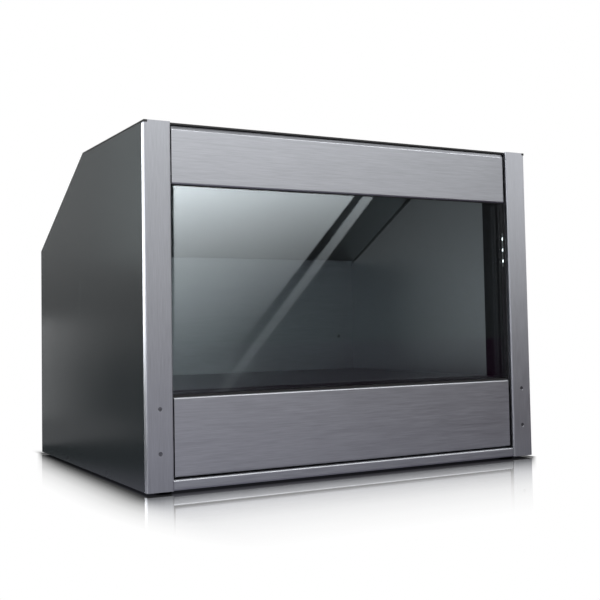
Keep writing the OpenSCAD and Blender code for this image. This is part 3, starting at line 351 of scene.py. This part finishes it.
def glazing(name, tint):
    """Clear glass that passes light straight on. Its mirror sheen is 0.04 + 0.96 g^5, where g goes
    from 0 face on to 1 edge on, and a faint haze of handling makes it uneven by 0.06 of itself."""
    f = Layers(name)
    haze = f.noise(even(7), detail=3)
    grazing = f.node("ShaderNodeLayerWeight", {}, {"Blend": 0.5}, "Facing")
    sheen = (grazing ** 5 * 0.96 + 0.04) * haze.about(1.0, 0.06)
    f.show(f.layered(sheen, f.clear(tint), f.mirror(WHITE, roughness=0.015)))
    return f


def lamp_lens(name, colour, strength):
    """A milky lens with a light behind it, made uneven by a fine frost."""
    f = Finish(name, Roughness=0.35, Emission_Strength=strength)
    frost = f.noise(even(700))
    f.skin("Base Color", f.mix(frost, shade(225, 228, 228), shade(245)))
    f.skin("Emission Color", f.mix(frost, scaled(colour, 0.92), colour))
    return f


def lit(name, colour, strength):
    """Lit figures behind tinted plastic, with a slight mottle in their brightness."""
    f = Finish(name, Roughness=0.4, Emission_Strength=strength)
    mottled = f.mix(f.noise(even(900)), scaled(colour, 0.8), colour)
    f.skin("Base Color", mottled)
    f.skin("Emission Color", mottled)
    return f


FINISHES = {finish.name: finish for finish in (
    # post_steel is the fascias' stainless made a little darker: painted shade on the posts.
    brushed("post_steel", shade(170, 172, 177), brush="Z", seed=1),
    brushed("fascia_steel", shade(176, 178, 183), seed=2),
    brushed("top_steel", shade(150, 150, 152), seed=3),
    brushed("liner_steel", shade(154, 157, 159), rough=0.34, seed=4),
    painted("side_paint", shade(48, 54, 55), rough=0.24, grain=700, depth=0.03 * MM),
    brushed("hinge_steel", shade(160), rough=0.3, seed=6),
    brushed("handle_steel", shade(176), rough=0.24, seed=7),
    # The screws' steel is made darker than the other steel: painted shade for the countersinks and cross
    # recesses round their heads.
    brushed("screw_steel", shade(118, 119, 122), rough=0.28, contrast=0.05, seed=8),
    galvanised("galvanised", shade(158, 162, 166)),
    brushed("spacer_metal", shade(176), rough=0.32, seed=9),
    brushed("heater_steel", shade(120, 104, 92), rough=0.42, seed=10),
    galvanised("blower_metal", shade(165, 168, 170)),
    brushed("wheel_alloy", shade(150), rough=0.38, seed=11),
    painted("motor_paint", shade(40, 41, 43), rough=0.45, metal=0.2),
    painted("black_trim", shade(24, 25, 26), rough=0.42),
    painted("black_rubber", shade(22, 22, 23), rough=0.62, grain=420, depth=0.08 * MM),
    painted("control_black", shade(26, 27, 29), rough=0.38, grain=900, coat=0.1),
    painted("button_grey", shade(150, 152, 154), rough=0.42, grain=900),
    painted("button_red", shade(150, 28, 26), rough=0.4, grain=900),
    painted("rocker_red", shade(168, 24, 22), rough=0.28, grain=900, coat=0.4),
    painted("lamp_board", shade(215, 216, 212), grain=500),
    lamp_lens("lens", shade(246, 252, 255), strength=3.5),
    foam_board("foam", shade(62, 64, 67)),
    glazing("glass", (0.945, 0.962, 0.966, 1)),
    lit("figure_red", (1.0, 0.08, 0.03, 1), strength=2.5),
    painted("display_black", shade(16, 10, 10), rough=0.12, grain=300, coat=0.6, depth=0.005 * MM),
    painted("mark_white", shade(214, 215, 216), grain=1400, spread=0.04),
)}


def cover_nodes():
    """Gives each CAD node the finish that its record names."""
    for part in frame["record"]["subparts"]:
        data = nodes[part["node"]].data
        data.materials.clear()
        data.materials.append(FINISHES[part["material_slot"]].material)


cover_nodes()


# ---------- Small pieces ----------

def lofted(name, lofts, finish, body):
    """A piece made of lofts. Each loft is a grid of points P(i, j), point j of its closed loop i, with
    quads between one loop and the next. A cyclic loft joins its last loop to its first, and another
    has a flat cap at each end."""
    points, faces = [], []
    for loops, cyclic in lofts:
        loops = np.asarray(loops, float)
        count, around = loops.shape[:2]
        grid = np.arange(count * around).reshape(count, around) + sum(len(done) for done in points)
        near, far = (grid, np.roll(grid, -1, 0)) if cyclic else (grid[:-1], grid[1:])
        quads = np.stack([near, np.roll(near, -1, 1), np.roll(far, -1, 1), far], -1)
        faces += quads.reshape(-1, 4).tolist()
        if not cyclic:
            faces += [grid[0][::-1].tolist(), grid[-1].tolist()]
        points.append(loops.reshape(-1, 3))
    mesh = bpy.data.meshes.new(name)
    mesh.from_pydata(np.concatenate(points).tolist(), [], faces)
    mesh.materials.append(FINISHES[finish].material)
    mesh.validate()
    piece = bpy.data.objects.new(name, mesh)
    bpy.context.scene.collection.objects.link(piece)
    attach(piece, body)


def raised(outline, y0, y1):
    """A flat mark: an outline of (x, z) points at depth y0, and again at y1."""
    outline = np.asarray(outline, float)
    return [np.insert(outline, 1, y, 1) for y in (y0, y1)], False


def ring(x, z, inner, outer, y0, y1, count=40):
    """A flat ring about (x, z): at the angle t its points are (x + r cos t, z + r sin t), and r goes
    from inner to outer."""
    t = np.linspace(0, 2 * np.pi, count + 1)[:-1]
    return [np.stack([x + r * np.cos(t), 0 * t + y, z + r * np.sin(t)], -1)
            for r, y in ((inner, y0), (outer, y0), (outer, y1), (inner, y1))], True


def rectangle(x, z, width, height):
    """The outline of an upright rectangle about (x, z)."""
    return [(x + sx * width / 2, z + sz * height / 2) for sx, sz in ((-1, -1), (1, -1), (1, 1), (-1, 1))]


def capsule(x, z, length, height, count=12):
    """The outline of a level slot: two half circles whose middles are length - height apart."""
    t = np.linspace(-np.pi / 2, np.pi / 2, count)
    right = np.stack([(length - height) / 2 + height / 2 * np.cos(t), height / 2 * np.sin(t)], -1)
    return np.concatenate([right, -right]) + (x, z)


SEGMENTS = {"5": "afgcd", "6": "afgedc"}
FIGURE_WIDTH, FIGURE_HEIGHT, STROKE = 6.2 * MM, 12 * MM, 1.5 * MM
SEGMENT_GAP = 0.1 * STROKE
FIGURE_LEAN = 0.1


def seven_segments(figure, x, z, y0, y1):
    """A seven-segment figure about (x, z), read from behind the case. Each lit segment is a bar with
    pointed ends: a hexagon that tapers over half a stroke and stops a gap short of the corner. The
    whole figure leans, by lean times the height over its middle."""
    w, h = FIGURE_WIDTH / 2, FIGURE_HEIGHT / 2
    ends = {"a": ((-w, h), (w, h)), "f": ((-w, 0), (-w, h)), "g": ((-w, 0), (w, 0)),
            "e": ((-w, -h), (-w, 0)), "c": ((w, -h), (w, 0)), "d": ((-w, -h), (w, -h))}
    bars = []
    for segment in SEGMENTS[figure]:
        p, q = (np.array(end, float) for end in ends[segment])
        along = (q - p) / np.linalg.norm(q - p)
        side = np.array([-along[1], along[0]]) * STROKE / 2
        p, q = p + along * SEGMENT_GAP, q - along * SEGMENT_GAP
        taper = along * STROKE / 2
        bar = np.array([p, p + taper + side, q - taper + side, q, q - taper - side, p + taper - side])
        bar[:, 0] += bar[:, 1] * FIGURE_LEAN
        bars.append(raised(np.stack([x - bar[:, 0], z + bar[:, 1]], -1)[::-1], y0, y1))
    return bars


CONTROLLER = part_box("temperature_controller")
CONTROLLER_MIDDLE = (CONTROLLER[0] + CONTROLLER[1]) / 2
BEZEL_Y = CONTROLLER[1].y
WINDOW_DEEP, WINDOW_THICK, FIGURE_THICK = 0.8 * MM, 0.3 * MM, 0.1 * MM
FIGURE_PITCH = 10.5 * MM
MARK_PROUD = 0.06 * MM


def make_display():
    """The display's dark window, sunk into the bezel, and on it two lit figures and a small lit ring."""
    x, z = CONTROLLER_MIDDLE.x + 14 * MM, CONTROLLER_MIDDLE.z + 1 * MM
    back = BEZEL_Y - WINDOW_DEEP
    front = back + WINDOW_THICK
    lofted("display_window", [raised(rectangle(x, z, 39.2 * MM, 19.2 * MM), back, front)],
           "display_black", "cabinet")
    thick = (front, front + FIGURE_THICK)
    tens, ones = seven_segments("6", x + FIGURE_PITCH, z, *thick), seven_segments("5", x, z, *thick)
    heating = ring(x - 9 * MM, z + 5 * MM, 0.9 * MM, 1.6 * MM, *thick)
    lofted("display_figures", [*tens, *ones, heating], "figure_red", "cabinet")


def make_button_marks():
    """White marks on the bezel over the buttons: a ring for setting, and triangles for up and down."""
    set_x, down_x, up_x = (sum(corner.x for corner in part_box(name)) / 2
                           for name in ("set_button", "down_button", "up_button"))
    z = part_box("set_button")[1].z + 3.4 * MM
    thick = (BEZEL_Y, BEZEL_Y + MARK_PROUD)
    up = np.array([(-1.5, -1.2), (1.5, -1.2), (0, 1.4)]) * MM
    down = (up * (1, -1))[::-1]
    lofted("button_marks", [
        ring(set_x, z, 0.9 * MM, 1.4 * MM, *thick),
        raised(up + (up_x, z), *thick),
        raised(down + (down_x, z), *thick),
    ], "mark_white", "cabinet")


ROCKER_TILT = next(j for j in frame["record"]["behaviour"]["joints"] if j["name"] == "rocker_tilt")
ROCKER_PIVOT = ROCKER_TILT["pos_m"]
PADDLE_PROUD, PADDLE_FLARE, PADDLE_LEAN = 5 * MM, 1.6 / 10.8, math.radians(7)


def on_rocker(mark):
    """A mark laid on the paddle's two faces. At a height z on the paddle its face is proud + flare |z|
    in front of the pivot, and the whole paddle leans back about that pivot."""
    loops, cyclic = mark
    c, s = math.cos(PADDLE_LEAN), math.sin(PADDLE_LEAN)
    placed = []
    for x, y, z in (loop.T for loop in loops):
        y = PADDLE_PROUD + PADDLE_FLARE * abs(z) + y
        placed.append(np.stack([x, y * c - z * s, y * s + z * c], -1) + ROCKER_PIVOT)
    return placed, cyclic


def make_rocker_marks():
    """White marks on the paddle: a bar on its upper face for on, and a ring on its lower face for off."""
    thick = (0.01 * MM, MARK_PROUD)
    lofted("rocker_marks", [
        on_rocker(raised(rectangle(0, 6.5 * MM, 0.9 * MM, 3.8 * MM), *thick)),
        on_rocker(ring(0, -6.5 * MM, 1.3 * MM, 2.0 * MM, *thick)),
    ], "mark_white", "rocker")


CAVITY_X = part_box("right_liner")[0].x
DECK_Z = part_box("display_deck")[1].z
BRACKET_IN, BRACKET_UP, BRACKET_SLOT_UP = 42 * MM, 80 * MM, 46 * MM
PLUG_LENGTH, PLUG_HEIGHT = 13.5 * MM, 3.5 * MM


def make_slot_plugs():
    """Steel plugs in the slots for shelf brackets, just behind the face of the cavity's rear wall."""
    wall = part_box("rear_liner")[0].y
    middles = [(sx * (CAVITY_X - BRACKET_IN), DECK_Z + BRACKET_UP + sz * BRACKET_SLOT_UP)
               for sx in (-1, 1) for sz in (-1, 1)]
    lofted("slot_plugs", [raised(capsule(x, z, PLUG_LENGTH, PLUG_HEIGHT), wall + 0.2 * MM, wall + 0.9 * MM)
                          for x, z in middles], "liner_steel", "cabinet")


make_display()
make_button_marks()
make_rocker_marks()
make_slot_plugs()


# ---------- Studio ----------

PANES = ["outer_glass", "inner_glass"]
POSTS = ["left_corner_post", "right_corner_post"]
LEFT_SIDE = ["left_side_panel"]


def strip(axis, low, high, *path):
    """The corners and faces of a bent sheet: a path of points, carried along the axis from low to high.
    The path gives the other two coordinates."""
    edges = [np.insert(np.array(path, float), "XYZ".index(axis), end, 1) for end in (low, high)]
    count = len(path)
    return np.concatenate(edges).tolist(), [(i, i + 1, count + i + 1, count + i) for i in range(count - 1)]


def stage_object(name, points, faces, finish):
    """A stage piece from corner points and faces."""
    mesh = bpy.data.meshes.new(name)
    mesh.from_pydata(points, [], faces)
    mesh.materials.append(finish.material)
    made = bpy.data.objects.new(name, mesh)
    bpy.context.scene.collection.objects.link(made)
    return made


def lights_only(source, names, state="INCLUDE"):
    """Limits which objects a light or a card shines on, or with EXCLUDE which it leaves out."""
    group = bpy.data.collections.new(source.name + "_receivers")
    for name in names:
        group.objects.link(nodes.get(name) or bpy.data.objects[name])
    for member in group.collection_objects:
        member.light_linking.link_state = state
    source.light_linking.receiver_collection = group


def hidden_card(name, points, faces, finish, names):
    """A card of light that only reflections in the named pieces meet."""
    card = stage_object(name, points, faces, finish)
    card.visible_camera = card.visible_diffuse = card.visible_shadow = False
    lights_only(card, names)


TABLE_HALF = 12
# How far the table top mirrors the case, in front of its foot, and beside and behind it. A distance beside
# or behind counts so many times, and at the left more times with each metre behind REAR_START.
MIRROR_FRONT, MIRROR_SIDE = 0.42, 0.13
LEFT_TIMES, RIGHT_TIMES, BEHIND_TIMES = 1.12, 3, 1.5
REAR_START, MORE_TIMES = 0.1, 2
# The mirror's strength, over that distance in parts of its reach.
MIRROR_FADE = ((0, 1), (0.1, 0.95), (0.2, 0.82), (0.3, 0.65), (0.4, 0.48), (0.6, 0.23), (0.8, 0.09), (1, 0))
# The mirror ends within this width past a line of sight.
SIGHT_SOFT = 0.011
# The contact's painted shadow, which turns the mirror towards black, over the distance from the foot in
# parts of its reach.
SHADOW_REACH = 0.143
SHADOW = ((0, 0.1), (0.14, 0.3), (0.32, 0.5), (0.63, 0.8), (1, 1))
# The table as the case mirrors it, in front from left to right, at the rear and beyond the left side.
TABLE_LEFT, TABLE_RIGHT = (0.46, 0.45, 0.54, 1), (0.03, 0.01, 0.026, 1)
TABLE_REAR, TABLE_BEYOND = (0.035, 0.04, 0.045, 1), (0.32, 0.32, 0.32, 1)


def sight_slope(x, y):
    """How far to the right the camera's line of sight to the point (x, y) runs for each metre of depth."""
    return (x - CAMERA_PLACE.x) / (y - CAMERA_PLACE.y)


def seen_table(f, x, y):
    """The table as the camera sees it: white, with a mirror that fades with the distance from the
    foot's rectangle, sooner beside and behind it than in front. The mirror also stops past the two
    lines of sight that touch the foot's right front and left rear corners, and a painted contact
    shadow darkens it close to the foot."""
    front, behind = (LOW.y - y).at_least(0), (y - HIGH.y).at_least(0) * BEHIND_TIMES
    left, right = (LOW.x - x).at_least(0), (x - HIGH.x).at_least(0)
    beside = left * ((y - REAR_START).at_least(0) * MORE_TIMES + LEFT_TIMES) + right * RIGHT_TIMES
    touch, away = (((beside * times) ** 2 + front ** 2 + (behind * times) ** 2) ** 0.5
                   for times in (1, MIRROR_FRONT / MIRROR_SIDE))
    past_right = (x - HIGH.x + front * sight_slope(HIGH.x, LOW.y)).at_least(0)
    past_left = (LOW.x - x - (HIGH.y - y).at_least(0) * sight_slope(LOW.x, HIGH.y)).at_least(0)
    in_sight = 1 - (past_right + past_left).between(0, SIGHT_SOFT)
    # Painted contact shadow: close to the foot the mirror gives way to a black glow.
    mirror = f.layered((touch / SHADOW_REACH).ramp(SHADOW), f.glow(BLACK), f.mirror(WHITE, roughness=0.03))
    return f.layered((away / MIRROR_FRONT).ramp(MIRROR_FADE) * in_sight, f.glow(WHITE), mirror)


def mirrored_table(f, x, y):
    """The table as the case mirrors it: bright at the front left, and dim at the right and at the rear.
    The rear's share is 0.8 y + 0.7, and 0.3 more to the left of the case."""
    front = f.layered(x.between(-0.5, 1.015), f.glow(TABLE_LEFT), f.glow(TABLE_RIGHT))
    rear = (y * 0.8 + x.between(-0.4, -0.5) * 0.3 + 0.7).clamped()
    beside = f.layered(rear, front, f.glow(TABLE_REAR))
    beyond = x.between(-0.44, -0.24) * y.between(-0.2, 0.467)
    return f.layered(beyond, beside, f.glow(TABLE_BEYOND))


def make_floor():
    """The table top, as wide as the studio."""
    f = Layers("table_top")
    x, y = f.axis("X"), f.axis("Y")
    f.show(f.layered(f.seen_by_camera(), mirrored_table(f, x, y), seen_table(f, x, y)))
    stage_object("floor", *strip("Y", -TABLE_HALF, TABLE_HALF, (-TABLE_HALF, 0), (TABLE_HALF, 0)), f)


ROOM = (0.05, 0.052, 0.055, 1)


def make_world():
    """White for the camera, and a dim room for everything else."""
    world = bpy.data.worlds.new("studio")
    world.use_nodes = True
    world.node_tree.nodes.clear()
    bpy.context.scene.world = world
    sky = Shaders(world.node_tree)
    colour = sky.mix(sky.seen_by_camera(), ROOM, WHITE)
    light = sky.node("ShaderNodeBackground", {}, {"Color": colour, "Strength": 1})
    sky.put(sky.tree.nodes.new("ShaderNodeOutputWorld"), "Surface", light)


TENT_RADIUS = 8
TENT_AROUND, TENT_LOOPS = 24, 10
# The tent's light over the height, which goes from 0 at the bottom of its sphere to 1 at the top.
TENT_HEIGHT_LIGHT = ((0.45, 0.1), (0.5, 0.38), (0.56, 1.0), (0.78, 1.0), (0.86, 0.3), (1.0, 0.2))
# Its light all round, and how much more there is in front with the left, and behind.
TENT_ROUND, TENT_FRONT, TENT_BEHIND = 0.25, 0.8, 0.45
TENT_STRENGTH = TENT_ROUND + TENT_FRONT + TENT_BEHIND


def tent_share(f):
    """The tent's light in parts of its strength, with x, y and z in parts of its radius. The part behind
    leaves the case's left side dark. The light over the height stands a little higher at the right."""
    x, y, z = (f.axis(letter) / TENT_RADIUS for letter in "XYZ")
    height = (z - (x * 0.08).clamped()) * 0.5 + 0.5
    front = (y * -1.0 + x * -0.5 + 0.27).clamped()
    sides = x.between(-0.075, 0.175) + x.between(-0.5, -0.833) * y.between(0, 0.5)
    behind = y.between(-0.35, 0.15) * sides
    level = front * TENT_FRONT + behind * TENT_BEHIND + TENT_ROUND
    return height.ramp(TENT_HEIGHT_LIGHT) * level / TENT_STRENGTH


def make_tent():
    """A round tent of soft light, which the panes and the table don't mirror. At the angle a round it
    and the angle b up, from 45 degrees below level to straight up, its points are
    R (cos b cos a, cos b sin a, sin b)."""
    f = Layers("tent")
    f.uneven_light(tent_share(f), WHITE, TENT_STRENGTH)
    a, b = np.meshgrid(np.linspace(0, 2 * np.pi, TENT_AROUND + 1)[:-1],
                       np.linspace(-np.pi / 4, np.pi / 2, TENT_LOOPS))
    points = TENT_RADIUS * np.stack([np.cos(b) * np.cos(a), np.cos(b) * np.sin(a), np.sin(b)], -1)
    grid = np.arange(a.size).reshape(a.shape)
    onwards = np.roll(grid, -1, 1)
    faces = np.stack([grid[:-1], onwards[:-1], onwards[1:], grid[1:]], -1).reshape(-1, 4)
    tent = stage_object("tent", points.reshape(-1, 3).tolist(), faces.tolist(), f)
    tent.visible_camera = tent.visible_shadow = False
    lights_only(tent, PANES + ["floor"], "EXCLUDE")


BACKDROP_REAR, BACKDROP_HIGH = 6, 9


def make_backdrop():
    """What the table mirrors beyond the case: a box whose light makes the dim room white."""
    f = Layers("backdrop")
    f.show(f.light(WHITE, 1 - ROOM[0]))
    corners = [(x, y) for y in (-TABLE_HALF, BACKDROP_REAR) for x in (-TABLE_HALF, TABLE_HALF)]
    points = [(x, y, z) for z in (0, BACKDROP_HIGH) for x, y in corners]
    faces = [(0, 1, 5, 4), (1, 3, 7, 5), (3, 2, 6, 7), (2, 0, 4, 6), (4, 5, 7, 6)]
    hidden_card("backdrop", points, faces, f, ["floor"])


PANE_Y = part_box("outer_glass")[0].y
GLARE_Y = -1.8
GLARE_WHITE, GLARE_STRENGTH = (0.89, 0.965, 1, 1), 40


def on_glare(x, z):
    """Where the pane's point (x, z), as the camera sees it, mirrors the plane of the glare's cards."""
    eye = Vector((CAMERA_PLACE.x, 2 * PANE_Y - CAMERA_PLACE.y, CAMERA_PLACE.z))
    point = Vector((x, PANE_Y, z))
    return eye + (point - eye) * ((GLARE_Y - eye.y) / (PANE_Y - eye.y))


def make_glare(name, corners, rise, level, across=0.0, less=0.0):
    """A card whose mirror image crosses the window. Its corners are points (x, z) of the pane, where
    its light is e^(across x + rise z + level) - less, from 0 to its strength."""
    f = Layers(name)
    start, reach = on_glare(0, 0), on_glare(1, 1) - on_glare(0, 0)
    x, z = (f.axis("X") - start.x) / reach.x, (f.axis("Z") - start.z) / reach.z
    light = f.node("ShaderNodeMath", {"operation": "EXPONENT"}, {0: x * across + z * rise + level}) - less
    f.uneven_light((light / GLARE_STRENGTH).clamped(), GLARE_WHITE, GLARE_STRENGTH)
    points = [on_glare(*corner) for corner in corners]
    hidden_card(name, points, [list(range(len(points)))], f, ["outer_glass"])


def make_card(name, sheet, colour, names, along_x=0.0, along_z=0.0, level=1.0):
    """A card that only the named pieces mirror. Its light is along_x x + along_z z + level, from 0 to 1."""
    f = Layers(name)
    f.uneven_light((f.axis("X") * along_x + f.axis("Z") * along_z + level).clamped(), colour)
    hidden_card(name, *sheet, f, names)


def make_room_cards():
    """What the steel and the painted side mirror of the room: bright sheets for the posts' turned
    edges and for the bends, and dim ones behind, below and above for the left side."""
    make_card("edge_card", strip("Z", 0.1, 3.5, (-4.0, 5), (-0.3, 5)), (5.0, 5.05, 5.1, 1), POSTS)
    make_card("rounding_card", strip("Z", -0.1, 2.6, (-4.5, -1.2), (-4.5, 1.6)), (3.2, 3.25, 3.3, 1),
              POSTS + ["top_fascia", "bottom_fascia"])
    make_card("side_card", strip("Z", 0, 0.3, (-0.72, 1.2), (-0.4, 1.2)), (0.42, 0.425, 0.43, 1), LEFT_SIDE)
    make_card("side_floor", strip("Y", 0.45, 1.2, (-0.78, 0.002), (-0.4, 0.002)), (0.2, 0.2, 0.205, 1),
              LEFT_SIDE)
    make_card("side_top_card", strip("Z", 0.45, 0.95, (-1.6, 0.9), (-0.8, 0.9)), (0.375, 0.445, 0.45, 1),
              LEFT_SIDE)
    make_card("side_sky", strip("Z", 0.75, 2.8, (-4.5, 5), (-0.8, 5)), (0.04, 0.044, 0.044, 1), LEFT_SIDE)
    make_card("post_card", strip("Z", 0.6, 2.8, (2.0, -4.3), (4.2, -2.3)), (1, 0.99, 1, 1),
              ["right_corner_post"], along_z=-0.14, level=0.7)


LINER_WHITE, PAN_WHITE, CAVITY_WHITE = (0.97, 0.99, 1.0, 1), (0.85, 0.97, 1.0, 1), (0.9, 0.98, 1.0, 1)
KNEE_Z, ROOF_REAR, ROOF_FRONT = 0.42, 0, -0.2


def make_cavity_cards():
    """What the cavity's walls mirror of each other: the rear wall, the slope and the roof for the
    right wall, the deck and the right wall for the lid's pan, and a soft front light for the rest."""
    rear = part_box("rear_liner")[0].y - 12 * MM
    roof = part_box("ceiling_liner")[1].z - 25 * MM
    deck, wall = DECK_Z + 4 * MM, CAVITY_X - 3 * MM
    make_card("wall_card", strip("Z", DECK_Z, KNEE_Z, (-CAVITY_X, rear), (CAVITY_X, rear)), LINER_WHITE,
              ["right_liner"], along_x=-1.4, level=0.33)
    make_card("roof_card",
              strip("X", -CAVITY_X, CAVITY_X, (rear, KNEE_Z), (ROOF_REAR, roof), (ROOF_FRONT, roof)),
              LINER_WHITE, ["right_liner"], along_x=-0.5, level=0.315)
    make_card("pan_card", strip("Y", -0.27, 0.26, (-CAVITY_X, deck), (wall, deck), (wall, roof - 20 * MM)),
              PAN_WHITE, ["lid_pan"], along_z=0.11, level=0)
    make_card("cavity_card", strip("Z", 0.16, 0.51, (-0.36, -0.285), (0.36, -0.285)), CAVITY_WHITE,
              ["rear_liner", "display_deck", "left_liner"], along_x=-0.08, level=0.09)


def soft_box(name, place, target, width, height, watts):
    """A flat lamp that faces its target, and which the panes and the table don't mirror."""
    data = bpy.data.lights.new(name, "AREA")
    data.shape = "RECTANGLE"
    data.size, data.size_y = width, height
    data.energy = watts
    lamp = bpy.data.objects.new(name, data)
    lamp.location = place
    lamp.rotation_euler = (Vector(target) - Vector(place)).to_track_quat("-Z", "Y").to_euler()
    lamp.visible_camera = False
    bpy.context.scene.collection.objects.link(lamp)
    lights_only(lamp, PANES + ["floor"], "EXCLUDE")


make_floor()
make_world()
make_tent()
make_backdrop()
# A broad glow at the window's upper left, and a thin streak beside it.
make_glare("broad_glare", [(-0.3435, 0.62), (0.1145, 0.618), (0.0045, 0.4948), (-0.1034, 0.3736),
                           (-0.293, 0.16), (-0.3465, 0.105)],
           rise=7.74, level=-2.14, across=-2.36, less=1.2)
make_glare("streak", [(0.127, 0.615), (0.151, 0.615), (-0.2145, 0.1982), (-0.251, 0.157),
                      (-0.272, 0.157), (-0.2345, 0.1988)],
           rise=7.3, level=-2.61)
make_room_cards()
make_cavity_cards()
soft_box("bend_lamp", place=(1.3, -2.6, 2.3), target=(0, -0.3, 0.5), width=3.0, height=0.12, watts=30)
soft_box("rear_lamp", place=(0.8, 3.2, 2.0), target=(0, 0.2, 0.3), width=3.5, height=2.6, watts=50)
soft_box("right_lamp", place=(3.4, 0.2, 1.9), target=(0, 0, 0.3), width=3.0, height=3.0, watts=34)
soft_box("over_lamp", place=(0, 0.4, 3.4), target=(0, 0, 0.3), width=3.2, height=3.2, watts=38)

bpy.context.scene.view_settings.view_transform = "Standard"
bpy.context.scene.cycles.transparent_max_bounces = 24
